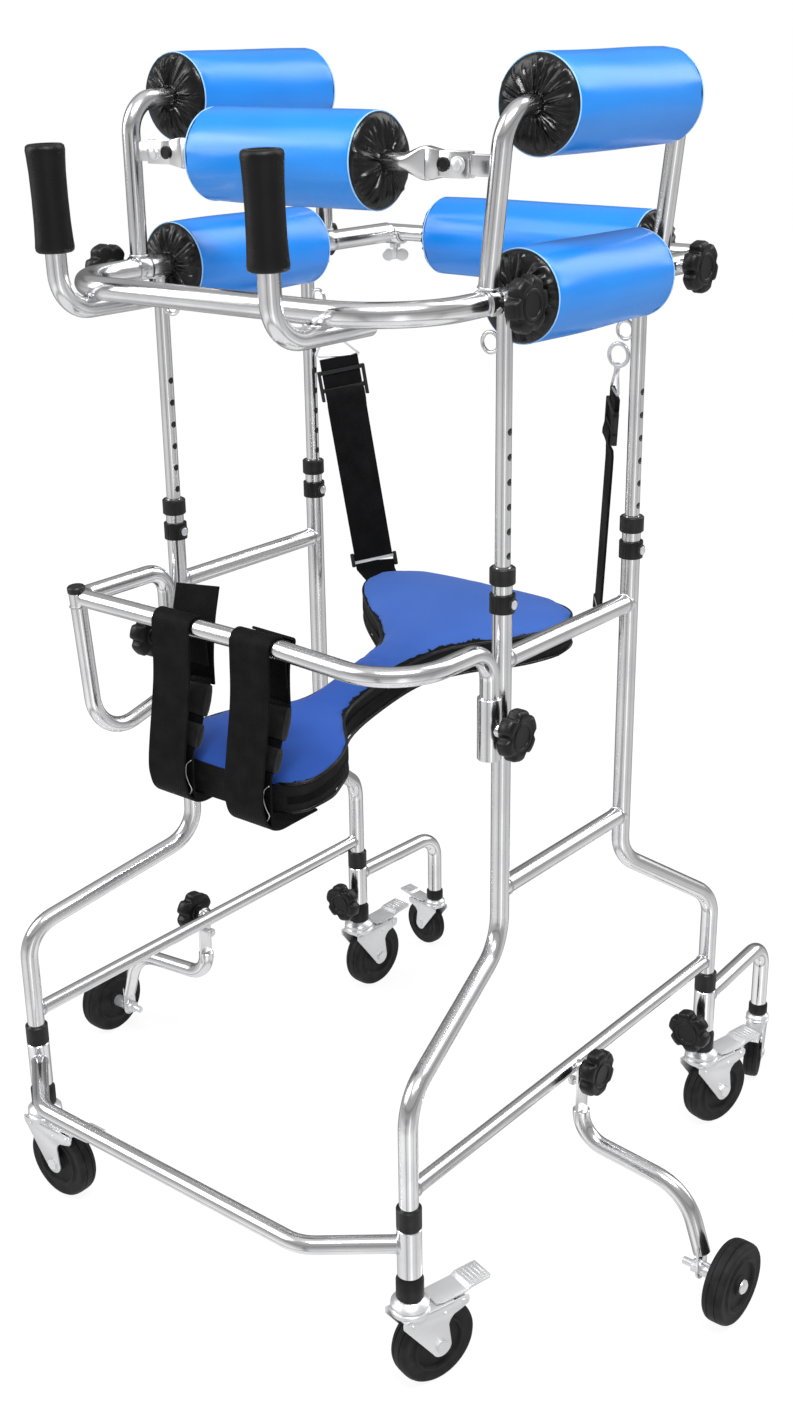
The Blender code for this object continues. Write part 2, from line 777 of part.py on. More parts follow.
# Upper frame
def grip_points(grip):
    """The tube's path and the foam's ends for one hand grip."""
    run_z = RING_Z - RAIL_RADIUS - GRIP_TUBE_RADIUS + GRIP_WELD_SINK
    foam_top = grip["foam_z"] + GRIP_LENGTH
    path = [
        (grip["x"], grip["tail_y"], run_z),
        (grip["x"], grip["upright_y"], run_z),
        (grip["x"], grip["upright_y"] - GRIP_LEAN, foam_top - GRIP_CAP),
    ]
    return path


def inner_post(x, y):
    return rod((x, y, INNER_FOOT_Z), (x, y, RING_Z), INNER_RADIUS, half_facet=True)


def height_holes(x, y):
    """The row of pin holes on the outer side towards +X, from the lowest up."""
    holes = []
    for step in range(HOLE_COUNT):
        z = CATCH_Z + step * HOLE_PITCH
        start = (x + INNER_RADIUS - HOLE_DEPTH, y, z)
        holes.append(rod(start, (x + 2 * INNER_RADIUS, y, z), HOLE_RADIUS, HOLE_SIDES))
    return holes


def upper_frame():
    ring = [
        (POST_X, BACK_SOCKET_Y, RING_Z),
        (POST_X, RING_FRONT_Y, RING_Z),
        (-POST_X, RING_FRONT_Y, RING_Z),
        (-POST_X, RIGHT_RAIL_END_Y, RING_Z),
    ]
    solids = [tube(ring, RAIL_RADIUS, RING_BEND_RADIUS)]
    cutters = []
    for sign in SIDES.values():
        for end in (-1, 1):
            x = sign * POST_X
            y = end * POST_Y
            solids.append(inner_post(x, y))
            cutters.extend(height_holes(x, y))
            ring_x = sign * (POST_X - INNER_RADIUS - STRAP_RING_RADIUS + STRAP_RING_SINK)
            ring_z = RING_Z - (FRONT_STRAP_RING_DROP if end < 0 else REAR_STRAP_RING_DROP)
            solids.append(torus((ring_x, y, ring_z), (0, 1, 0), STRAP_RING_RADIUS, STRAP_RING_WIRE))
    for grip in (LEFT_GRIP, RIGHT_GRIP):
        solids.append(tube(grip_points(grip), GRIP_TUBE_RADIUS, GRIP_BEND_RADIUS))
    for side in SIDES:
        for clamp in ring_clamps(side):
            solids.append(clamp.boss())
            cutters.append(clamp.bore())
    socket_floor = (POST_X, BACK_SOCKET_FLOOR_Y, RING_Z)
    cutters.append(rod(socket_floor, (POST_X, BACK_SOCKET_Y + CUT_PAST, RING_Z), bore_for(BACK_TUBE_RADIUS)))
    saddle_low = (SADDLE_X - SADDLE_WIDTH / 2, BACK_BAR_Y, RING_Z)
    saddle_high = (SADDLE_X + SADDLE_WIDTH / 2, BACK_BAR_Y, RING_Z)
    solids.append(rod(saddle_low, saddle_high, SADDLE_RADIUS))
    cutters.append(box(
        (SADDLE_X - SADDLE_WIDTH, BACK_BAR_Y - SADDLE_LIP, RING_Z + SADDLE_LIP_Z),
        (SADDLE_X + SADDLE_WIDTH, BACK_BAR_Y + 2 * SADDLE_RADIUS, RING_Z + 2 * SADDLE_RADIUS),
    ))
    bore = bore_for(BACK_TUBE_RADIUS)
    cutters.append(rod(
        (SADDLE_X - SADDLE_WIDTH, BACK_BAR_Y, RING_Z),
        (SADDLE_X + SADDLE_WIDTH, BACK_BAR_Y, RING_Z),
        bore,
    ))
    cutters.append(box(
        (SADDLE_X - SADDLE_WIDTH, BACK_BAR_Y - bore, RING_Z),
        (SADDLE_X + SADDLE_WIDTH, BACK_BAR_Y + bore, RING_Z + 2 * SADDLE_RADIUS),
    ))
    add_part("upper_frame", combined(solids, cutters), STEEL, (0, 0, RING_Z))
    for side in SIDES:
        for clamp in ring_clamps(side):
            clamp.add_knob()


def hand_grip(side, grip):
    """The foam sleeve on one upright, with a closed top."""
    path = grip_points(grip)
    top = Vector(path[2])
    lean = (top - Vector(path[1])).normalized()
    low = Vector(path[1]) + lean * (grip["foam_z"] - path[1][2])
    high = low + lean * GRIP_LENGTH
    foam = rod(low, high, GRIP_RADIUS, ROUND_SIDES)
    inside_end = top + lean * GAP
    hollow = rod(low - lean * CUT_PAST, inside_end, bore_for(GRIP_TUBE_RADIUS))
    add_part("hand_grip_" + side, combined([foam], [hollow]), FOAM, tuple(low))


# Rolls
def roll_mesh(length, radius, tube_radius):
    """A padded roll along Z from 0, with a soft crown and drawn-in ends past both faces.

    It is bored for a straight tube of tube_radius, or closed where that is None.
    """
    crown = radius * ROLL_CROWN_SHARE
    profile = []
    for row in range(ROLL_ROWS + 1):
        share = row / ROLL_ROWS
        bulge = crown * (1 - (2 * share - 1) ** 2)
        profile.append((radius - crown + bulge, length * (1 - share)))
    shoulder = ROLL_END_DEPTH * ROLL_SHOULDER_SHARE
    inner = 0 if tube_radius is None else bore_for(tube_radius, ROUND_SIDES)
    neck = ROLL_NECK_RADIUS
    top = [
        (inner, length + ROLL_END_DEPTH),
        (neck, length + ROLL_END_DEPTH),
        (ROLL_END_RADIUS, length + shoulder),
    ]
    bottom = [(radius, -height + length) for radius, height in reversed(top)]
    return turned(top + profile + bottom)


def roll_between(start, end, radius, tube_radius=None):
    start = Vector(start)
    end = Vector(end)
    mesh = roll_mesh((end - start).length, radius, tube_radius)
    turn = (end - start).to_track_quat("Z", "Y").to_matrix().to_4x4()
    mesh.transform(Matrix.Translation(start) @ turn)
    return mesh


def forearm_roll(side):
    sign = SIDES[side]
    x = sign * POST_X
    span = (FOREARM_ROLL_FRONT_Y[side], FOREARM_ROLL_REAR_Y)
    body = roll_between((x, span[0], RING_Z), (x, span[1], RING_Z), FOREARM_ROLL_RADIUS, RAIL_RADIUS)
    post_low = RING_Z - 2 * FOREARM_ROLL_RADIUS
    post = rod((x, POST_Y, post_low), (x, POST_Y, RING_Z), bore_for(INNER_RADIUS), half_facet=True)
    slit_half = INNER_RADIUS * ROLL_SLIT_SHARE
    slit = box((x - slit_half, POST_Y, post_low), (x + slit_half, POST_X, RING_Z))
    add_part("forearm_roll_" + side, combined([body], [post, slit]), BLUE_VINYL)


def tilt_about_rail(side, degrees):
    """The turn about a side rail's axis that leans an armpit frame outwards."""
    x = SIDES[side] * POST_X
    centre = Matrix.Translation((x, 0, RING_Z))
    return centre @ Matrix.Rotation(radians(SIDES[side] * degrees), 4, "Y") @ centre.inverted()


def armpit_path(side, top_z):
    x = SIDES[side] * POST_X
    return [
        (x, ARMPIT_FRONT_Y, RING_Z + RAIL_RADIUS),
        (x, ARMPIT_FRONT_Y, top_z),
        (x, ARMPIT_REAR_Y, top_z),
        (x, ARMPIT_REAR_Y, RING_Z + RAIL_RADIUS),
    ]


def armpit_frame(side, tilt, span):
    sign = SIDES[side]
    x = sign * POST_X
    lean = tilt_about_rail(side, tilt)
    path = armpit_path(side, ARMPIT_TOP_Z)
    solids = [tube(path, ARMPIT_TUBE_RADIUS, ARMPIT_BEND_RADIUS)]
    cutters = []
    for y in (ARMPIT_FRONT_Y, ARMPIT_REAR_Y):
        low = (x, y - CLAMP_WIDTH / 2, RING_Z)
        high = (x, y + CLAMP_WIDTH / 2, RING_Z)
        solids.append(rod(low, high, CLAMP_RADIUS, ROUND_SIDES))
        cutters.append(rod((x, y - CLAMP_WIDTH, RING_Z), (x, y + CLAMP_WIDTH, RING_Z), bore_for(RAIL_RADIUS)))
        room = CLAMP_WIDTH
        cutters.append(box(
            (x - room, y - room, RING_Z - 2 * room),
            (x + room, y + room, RING_Z - CLAMP_MOUTH_DROP),
        ))
    frame = combined(solids, cutters)
    frame.transform(lean)
    ear = chest_ear(side)
    frame = combined([frame, ear], [chest_ear_hole(side)] if side == "right" else [])
    add_part("armpit_frame_" + side, frame, STEEL, (x, 0, RING_Z))
    inner = (x, span[0], ARMPIT_TOP_Z)
    outer = (x, span[1], ARMPIT_TOP_Z)
    roll = roll_between(inner, outer, ROLL_RADIUS)
    clearance = tube(path, bore_for(ARMPIT_TUBE_RADIUS), ARMPIT_BEND_RADIUS)
    roll = combined([roll], [clearance])
    roll.transform(lean)
    add_part("armpit_roll_" + side, roll, BLUE_VINYL, (x, 0, RING_Z))


# Chest bar between the armpit frames
def chest_ear(side):
    """The plate on an armpit frame's front leg that carries the chest bar."""
    sign = SIDES[side]
    tilt = ARMPIT_TILT_LEFT if side == "left" else 0
    leg_x = sign * (POST_X + (CHEST_Z - RING_Z) * tan(radians(tilt)))
    bolt_x = CHEST_LEFT_BOLT_X if side == "left" else CHEST_RIGHT_BOLT_X
    tip_x = bolt_x - sign * EAR_HALF_HEIGHT
    low = min(leg_x, tip_x)
    high = max(leg_x, tip_x)
    half = EAR_THICKNESS / 2
    return box(
        (low, ARMPIT_FRONT_Y - half, CHEST_Z - EAR_HALF_HEIGHT),
        (high, ARMPIT_FRONT_Y + half, CHEST_Z + EAR_HALF_HEIGHT),
    )


def chest_ear_hole(side):
    bolt_x = CHEST_LEFT_BOLT_X if side == "left" else CHEST_RIGHT_BOLT_X
    low = (bolt_x, ARMPIT_FRONT_Y - EAR_THICKNESS, CHEST_Z)
    high = (bolt_x, ARMPIT_FRONT_Y + EAR_THICKNESS, CHEST_Z)
    return rod(low, high, bore_for(CHEST_BOLT_RADIUS))


def chest_fork(side):
    """Two cheeks that straddle an ear, their root on the tube, and the bolt's heads."""
    sign = SIDES[side]
    bolt_x = CHEST_LEFT_BOLT_X if side == "left" else CHEST_RIGHT_BOLT_X
    half = EAR_THICKNESS / 2 + GAP
    outer = half + CHEEK_THICKNESS
    tip_x = bolt_x + sign * EAR_HALF_HEIGHT
    ear_tip_x = bolt_x - sign * EAR_HALF_HEIGHT
    root_x = bolt_x - sign * CHEEK_REACH
    block_x = ear_tip_x - sign * FORK_ROOM
    y = ARMPIT_FRONT_Y
    z_low = CHEST_Z - EAR_HALF_HEIGHT
    z_high = CHEST_Z + EAR_HALF_HEIGHT
    body = box((min(root_x, tip_x), y - outer, z_low), (max(root_x, tip_x), y + outer, z_high))
    past_tip = tip_x + sign * FORK_ROOM
    slot = box(
        (min(block_x, past_tip), y - half, z_low - CUT_PAST),
        (max(block_x, past_tip), y + half, z_high + CUT_PAST),
    )
    fork = combined([body], [slot])
    heads = []
    for way in (-1, 1):
        inner = (bolt_x, y + way * (outer - CHEEK_THICKNESS / 2), CHEST_Z)
        face = (bolt_x, y + way * (outer + CHEST_BOLT_HEAD_REACH), CHEST_Z)
        heads.append(rod(inner, face, CHEST_BOLT_HEAD_RADIUS))
    if side == "right":
        low = (bolt_x, y - outer, CHEST_Z)
        heads.append(rod(low, (bolt_x, y + outer, CHEST_Z), CHEST_BOLT_RADIUS))
    return combined([fork] + heads)


def chest_bar():
    y = ARMPIT_FRONT_Y
    tube_low = (CHEST_RIGHT_BOLT_X + CHEEK_REACH - CHEST_TUBE_SINK, y, CHEST_Z)
    tube_high = (CHEST_LEFT_BOLT_X - CHEEK_REACH + CHEST_TUBE_SINK, y, CHEST_Z)
    bar = rod(tube_low, tube_high, CHEST_TUBE_RADIUS)
    pivot = (CHEST_RIGHT_BOLT_X, y, CHEST_Z)
    add_part("chest_bar", combined([bar, chest_fork("left"), chest_fork("right")]), STEEL, pivot)
    roll_low = (CHEST_ROLL_X[0], y, CHEST_Z)
    roll_high = (CHEST_ROLL_X[1], y, CHEST_Z)
    roll = roll_between(roll_low, roll_high, ROLL_RADIUS, CHEST_TUBE_RADIUS)
    add_part("chest_roll", roll, BLUE_VINYL, pivot)


# Back bar
def back_bar():
    path = [
        (POST_X, BACK_TAIL_Y, RING_Z),
        (POST_X, BACK_BAR_Y, RING_Z),
        (SADDLE_X - SADDLE_WIDTH / 2 + BACK_BAR_END_INSET, BACK_BAR_Y, RING_Z),
    ]
    pivot = (POST_X, BACK_SOCKET_Y, RING_Z)
    add_part("back_bar", tube(path, BACK_TUBE_RADIUS, BACK_BEND_RADIUS), STEEL, pivot)
    low = (BACK_ROLL_X[0], BACK_BAR_Y, RING_Z)
    high = (BACK_ROLL_X[1], BACK_BAR_Y, RING_Z)
    add_part("back_roll", roll_between(low, high, ROLL_RADIUS, BACK_TUBE_RADIUS), BLUE_VINYL, pivot)


# Waist bar with the hoop at its right end
def front_bar():
    path = [
        (-POST_X, SOCKET_Y, BAR_END_Z),
        (-POST_X, SOCKET_Y, BAR_Z),
        (-POST_X, BAR_FRONT_Y, BAR_Z),
        (BAR_BOW_X, BAR_FRONT_Y, BAR_Z),
        (POST_X, BAR_LEFT_CORNER_Y, BAR_Z),
        (POST_X, SOCKET_Y, BAR_Z),
        (POST_X, SOCKET_Y, BAR_END_Z),
    ]
    bends = [
        BAR_RIGHT_END_RADIUS,
        BAR_RIGHT_CORNER_RADIUS,
        BAR_BOW_BEND_RADIUS,
        BAR_LEFT_CORNER_RADIUS,
        BAR_LEFT_END_RADIUS,
    ]
    hoop = [(-POST_X, *HOOP_TOP), (-POST_X, *HOOP_CORNER), (-POST_X, *HOOP_END)]
    mesh = combined([tube(path, BAR_RADIUS, bends), tube(hoop, HOOP_TUBE_RADIUS, HOOP_BEND_RADIUS)])
    add_part("front_bar", mesh, STEEL, (0, BAR_FRONT_Y, BAR_Z))


# Seat
def seat_row(position):
    """The seat's y, centre, half width and top, by a smooth curve through the stations."""
    last = len(SEAT_STATIONS) - 1
    index = min(int(position), last - 1)
    share = position - index
    before = Vector(SEAT_STATIONS[max(index - 1, 0)])
    start = Vector(SEAT_STATIONS[index])
    end = Vector(SEAT_STATIONS[index + 1])
    after = Vector(SEAT_STATIONS[min(index + 2, last)])
    leave = (end - before) / 2
    arrive = (after - start) / 2
    square = share * share
    cube = square * share
    return (
        start * (2 * cube - 3 * square + 1)
        + leave * (cube - 2 * square + share)
        + end * (3 * square - 2 * cube)
        + arrive * (cube - square)
    )


def seat():
    """A lofted cushion: crowned top, upright gusset and flat underside."""
    rows = (len(SEAT_STATIONS) - 1) * SEAT_STEPS_PER_STATION
    shape = bmesh.new()
    layers = {"top": [], "bottom": []}
    for row in range(rows + 1):
        y, centre, half_width, top_z = seat_row(row / SEAT_STEPS_PER_STATION)
        fade = min(1, 3 * row / rows, 3 * (rows - row) / rows)
        for name, row_list in layers.items():
            line = []
            for column in range(SEAT_COLUMNS + 1):
                across = 2 * column / SEAT_COLUMNS - 1
                z = top_z - SEAT_CROWN + SEAT_CROWN * fade * (1 - across * across)
                if name == "bottom":
                    z = top_z - SEAT_THICKNESS
                line.append(shape.verts.new((centre + across * half_width, y, z)))
            row_list.append(line)
    for row in range(rows):
        for column in range(SEAT_COLUMNS):
            a, b = layers["top"][row][column:column + 2]
            d, c = layers["top"][row + 1][column:column + 2]
            shape.faces.new((a, b, c, d))
            a, b = layers["bottom"][row][column:column + 2]
            d, c = layers["bottom"][row + 1][column:column + 2]
            shape.faces.new((d, c, b, a))
        for column in (0, SEAT_COLUMNS):
            a = layers["top"][row][column]
            b = layers["top"][row + 1][column]
            c = layers["bottom"][row + 1][column]
            d = layers["bottom"][row][column]
            shape.faces.new((a, b, c, d) if column == 0 else (d, c, b, a))
    for row in (0, rows):
        for column in range(SEAT_COLUMNS):
            a = layers["bottom"][row][column]
            b = layers["bottom"][row][column + 1]
            c = layers["top"][row][column + 1]
            d = layers["top"][row][column]
            shape.faces.new((a, b, c, d) if row == 0 else (d, c, b, a))
    mesh = bpy.data.meshes.new("seat")
    shape.to_mesh(mesh)
    shape.free()
    tabs = []
    for sign in SIDES.values():
        inner = sign * (SEAT_TAB_X - SEAT_TAB_LENGTH)
        outer = sign * SEAT_TAB_X
        tabs.append(box(
            (min(inner, outer), SEAT_TAB_Y - SEAT_TAB_WIDTH / 2, SEAT_TAB_Z - SEAT_TAB_THICKNESS / 2),
            (max(inner, outer), SEAT_TAB_Y + SEAT_TAB_WIDTH / 2, SEAT_TAB_Z + SEAT_TAB_THICKNESS / 2),
        ))
    add_part("seat", combined([mesh] + tabs), SEAT_BLUE)


# Straps
def ribbon(path, x_low, x_high):
    """A flat band of constant thickness across X, along a path in the YZ plane."""
    shape = bmesh.new()
    lines = [[shape.verts.new((x, y, z)) for x in (x_low, x_high)] for y, z in path]
    for (a, b), (d, c) in zip(lines, lines[1:]):
        shape.faces.new((a, b, c, d))
    mesh = bpy.data.meshes.new("ribbon")
    shape.to_mesh(mesh)
    shape.free()
    return baked(mesh, "SOLIDIFY", thickness=STRAP_THICKNESS, offset=0, use_even_offset=True)


def front_strap(side):
    """From under the seat up its front, over the waist bar and down behind it."""
    hang = BAR_RADIUS + STRAP_BAR_SLACK + STRAP_THICKNESS / 2
    over_bar = arc((BAR_FRONT_Y, BAR_Z), hang, 180, 0, STRAP_BAR_STEPS)
    under_z = STRAP_UNDER_Z[side]
    path = [
        (STRAP_UNDER_Y, under_z),
        *((STRAP_FRONT_Y + back, under_z + up) for back, up in STRAP_CURL),
        (BAR_FRONT_Y - hang - STRAP_LEAD_IN[0], BAR_Z - STRAP_LEAD_IN[1]),
        *over_bar,
        (BAR_FRONT_Y + hang, STRAP_TAIL_Z),
    ]
    x = FRONT_STRAP_X[side]
    mesh = ribbon(path, x - FRONT_STRAP_WIDTH / 2, x + FRONT_STRAP_WIDTH / 2)
    add_part("seat_strap_front_" + side, mesh, WEBBING, (x, STRAP_FRONT_Y, under_z))


def slanted_band(points, across, width, thickness=STRAP_THICKNESS):
    """A flat band through the points, its width along the given direction."""
    shape = bmesh.new()
    half = across * width / 2
    lines = [[shape.verts.new(point - half), shape.verts.new(point + half)] for point in points]
    for (a, b), (d, c) in zip(lines, lines[1:]):
        shape.faces.new((a, b, c, d))
    mesh = bpy.data.meshes.new("band")
    shape.to_mesh(mesh)
    shape.free()
    return baked(mesh, "SOLIDIFY", thickness=thickness, offset=0, use_even_offset=True)


def rear_strap(side):
    """From the upper frame's ring through a buckle to the tab at the seat's rear corner."""
    sign = SIDES[side]
    places = (REAR_STRAP_TOP, REAR_STRAP_BEND, REAR_STRAP_END)
    top, bend, end = [Vector((sign * x, y, z)) for x, y, z in places]
    across = Vector((sign * REAR_STRAP_ACROSS[0], REAR_STRAP_ACROSS[1], 0)).normalized()
    down = (end - bend).normalized()
    buckle_end = bend + down * REAR_BUCKLE_HEIGHT
    buckle_width = REAR_STRAP_WIDTH + 2 * REAR_BUCKLE_MARGIN
    solids = [
        slanted_band([buckle_end - down * WELD_SINK, end], across, REAR_STRAP_WIDTH),
        slanted_band([bend, buckle_end], across, buckle_width, REAR_BUCKLE_THICKNESS),
        slanted_band([top, bend + down * WELD_SINK], across, REAR_HOOK_WIDTH),
        torus(top, (0, 1, 0), REAR_RING_RADIUS, REAR_RING_WIRE),
    ]
    add_part("seat_strap_rear_" + side, combined(solids), WEBBING, tuple(end))


# Height catches
def height_catch(name, x, y):
    """A half clip on the outer post with the pin that enters a height hole."""
    inner = bore_for(POST_RADIUS)
    outline = arc((0, 0), CATCH_OUTER_RADIUS, -CATCH_HALF_WRAP, CATCH_HALF_WRAP, CATCH_STEPS)
    outline += arc((0, 0), inner, CATCH_HALF_WRAP, -CATCH_HALF_WRAP, CATCH_STEPS)
    clip = flat(outline, CATCH_HEIGHT)
    head_face = CATCH_OUTER_RADIUS + CATCH_HEAD_REACH
    head = rod((CATCH_OUTER_RADIUS - WELD_SINK, 0, 0), (head_face, 0, 0), CATCH_HEAD_RADIUS)
    pin_tip = INNER_RADIUS + 2 * GAP
    pin = rod((pin_tip, 0, 0), (head_face - WELD_SINK, 0, 0), CATCH_PIN_RADIUS)
    mesh = combined([clip, head, pin])
    add_part(name, mesh, KNOB_PLASTIC, (x, y, CATCH_Z), local=True)


# Casters
def to_side_plane(mesh, x=0.0):
    """Turns a plate drawn in XY so that it stands along Y and Z at the given x."""
    turn = Matrix(((0, 0, 1, x), (1, 0, 0, 0), (0, 1, 0, 0), (0, 0, 0, 1)))
    mesh.transform(turn)
    return mesh


def fork_outline():
    tip = (CASTER_TRAIL, AXLE_Z)
    front_y = WELD_SINK - HEAD_RADIUS
    return [
        (front_y, FORK_TOP_Z),
        (front_y, FORK_TOP_Z - FORK_FRONT_DROP),
        *arc(tip, FORK_TIP_RADIUS, *FORK_TIP_SWEEP, FORK_TIP_STEPS),
        *FORK_REAR_EDGE,
        (FORK_BACK_Y, FORK_TOP_Z),
    ]


def caster_fork_mesh():
    outer = FORK_INNER + FORK_SHEET
    solids = [turned([
        (0, HEAD_TOP_Z + STEM_LENGTH),
        (STEM_RADIUS, HEAD_TOP_Z + STEM_LENGTH),
        (STEM_RADIUS, HEAD_TOP_Z),
        (HEAD_CROWN_RADIUS, HEAD_TOP_Z),
        (HEAD_RADIUS, HEAD_SHOULDER_Z),
        (HEAD_RADIUS, FORK_TOP_Z - WELD_SINK),
        (0, FORK_TOP_Z - WELD_SINK),
    ], CASTER_HEAD_SIDES)]
    for sign in (-1, 1):
        sheet = flat(fork_outline(), FORK_SHEET)
        solids.append(to_side_plane(sheet, sign * (FORK_INNER + FORK_SHEET / 2)))
    solids.append(box(
        (-outer, FORK_TOP_INSET - HEAD_RADIUS, FORK_TOP_Z - FORK_SHEET),
        (outer, FORK_TOP_BACK_Y, FORK_TOP_Z + FORK_TOP_RISE),
    ))
    axle_reach = outer + AXLE_HEAD_REACH
    axle = (CASTER_TRAIL, AXLE_Z)
    solids.append(rod((-axle_reach, *axle), (axle_reach, *axle), AXLE_RADIUS, SMALL_SIDES))
    pin = (PEDAL_PIVOT_Y, PEDAL_PIVOT_Z)
    pin_reach = outer + PIN_HEAD_REACH
    solids.append(rod((-pin_reach, *pin), (pin_reach, *pin), PEDAL_PIN_RADIUS, HEX_SIDES))
    return combined(solids)


def caster_wheel_mesh():
    """A wheel about its own centre, its axle along X."""
    bore = bore_for(AXLE_RADIUS, WHEEL_SIDES)
    half = WHEEL_HALF_WIDTH
    mesh = turned([
        (WHEEL_RADIUS - WHEEL_SHOULDER, half),
        (WHEEL_RADIUS, half - WHEEL_SHOULDER),
        (WHEEL_RADIUS, -half + WHEEL_SHOULDER),
        (WHEEL_RADIUS - WHEEL_SHOULDER, -half),
        (bore, -half),
        (bore, half),
    ], WHEEL_SIDES)
    mesh.transform(Matrix.Rotation(radians(90), 4, "Y"))
    return mesh


def pedal_mesh():
    """The brake pedal about its pin: a stepped sheet with a lug between the fork's cheeks."""
    sheet_z = FORK_TOP_Z + PEDAL_ROOM - PEDAL_PIVOT_Z
    heel = PEDAL_HEEL_Y - PEDAL_PIVOT_Y
    tip = PEDAL_TIP_Y - PEDAL_PIVOT_Y
    outline = [
        (heel, sheet_z),
        (PEDAL_STEP_Y, sheet_z),
        (PEDAL_STEP_Y + PEDAL_STEP_RUN, sheet_z + PEDAL_STEP_RISE),
        (tip, sheet_z + PEDAL_TIP_RISE),
        (tip, sheet_z + PEDAL_TIP_RISE + PEDAL_SHEET),
        (PEDAL_STEP_Y + PEDAL_STEP_RUN - WELD_SINK, sheet_z + PEDAL_STEP_RISE + PEDAL_SHEET),
        (PEDAL_STEP_Y - WELD_SINK, sheet_z + PEDAL_SHEET),
        (heel, sheet_z + PEDAL_SHEET),
    ]
    pedal = to_side_plane(flat(outline, 2 * PEDAL_HALF_WIDTH))
    lug_half = FORK_INNER - PEDAL_LUG_PLAY
    lug = box(
        (-lug_half, -PEDAL_LUG_RADIUS, -PEDAL_LUG_RADIUS),
        (lug_half, PEDAL_LUG_RADIUS, sheet_z + WELD_SINK),
    )
    past = FORK_INNER + CUT_PAST
    hole = rod((-past, 0, 0), (past, 0, 0), bore_for(PEDAL_PIN_RADIUS, HEX_SIDES), HEX_SIDES)
    return combined([pedal, lug], [hole])


FORK = caster_fork_mesh()
WHEEL = caster_wheel_mesh()
PEDAL = pedal_mesh()


def caster(name, x, y, ratio=1.0):
    """Fork, wheel and pedal of one caster, drawn smaller by the ratio."""
    turn = Matrix.Rotation(radians(-CASTER_HEADING[name]), 4, "Z")
    size = Matrix.Scale(ratio, 4)
    swivel = Vector((x, y, -FLOOR_DROP * (1 - ratio)))
    places = {
        "caster_fork_": (FORK, Vector((0, 0, 0)), ZINC),
        "caster_wheel_": (WHEEL, Vector((0, CASTER_TRAIL, AXLE_Z)), TYRE),
        "brake_pedal_": (PEDAL, Vector((0, PEDAL_PIVOT_Y, PEDAL_PIVOT_Z)), ZINC),
    }
    for prefix, (mesh, offset, material) in places.items():
        origin = swivel + turn @ (offset * ratio)
        add_part(prefix + name, moved(mesh, size), material, origin, turn, local=True)


# Rear arms
def rear_arm(side):
    sign = SIDES[side]
    leg = (sign * LEG_X, REAR_LEG_Y)
    end = (sign * ARM_CASTER_X, ARM_CASTER_Y)
    head_z = HEAD_TOP_Z * SMALL_CASTER_RATIO - SMALL_CASTER_DROP + GAP
    path = [(*leg, ARM_TUBE_Z), (*end, ARM_TUBE_Z), (*end, head_z + FERRULE_HEIGHT / 2)]
    ferrule = rod((*end, head_z), (*end, head_z + FERRULE_HEIGHT), FERRULE_RADIUS, half_facet=True)
    sleeve = rod((*leg, ARM_SLEEVE_BOTTOM_Z), (*leg, ARM_SLEEVE_TOP_Z), ARM_SLEEVE_RADIUS)
    clamp = arm_clamp(side)
    stem = (STEM_LENGTH + HEAD_TOP_Z) * SMALL_CASTER_RATIO - SMALL_CASTER_DROP + GAP
    bore_low = (*leg, ARM_SLEEVE_BOTTOM_Z - CUT_PAST)
    bore_high = (*leg, ARM_SLEEVE_TOP_Z + CUT_PAST)
    cutters = [
        rod(bore_low, bore_high, bore_for(POST_RADIUS)),
        rod((*end, head_z - CUT_PAST), (*end, stem), bore_for(STEM_RADIUS * SMALL_CASTER_RATIO)),
        clamp.bore(),
    ]
    solids = [tube(path, ARM_TUBE_RADIUS, ARM_BEND_RADIUS), ferrule, sleeve, clamp.boss()]
    add_part("rear_arm_" + side, combined(solids, cutters), STEEL, (*leg, 0))
    clamp.add_knob()


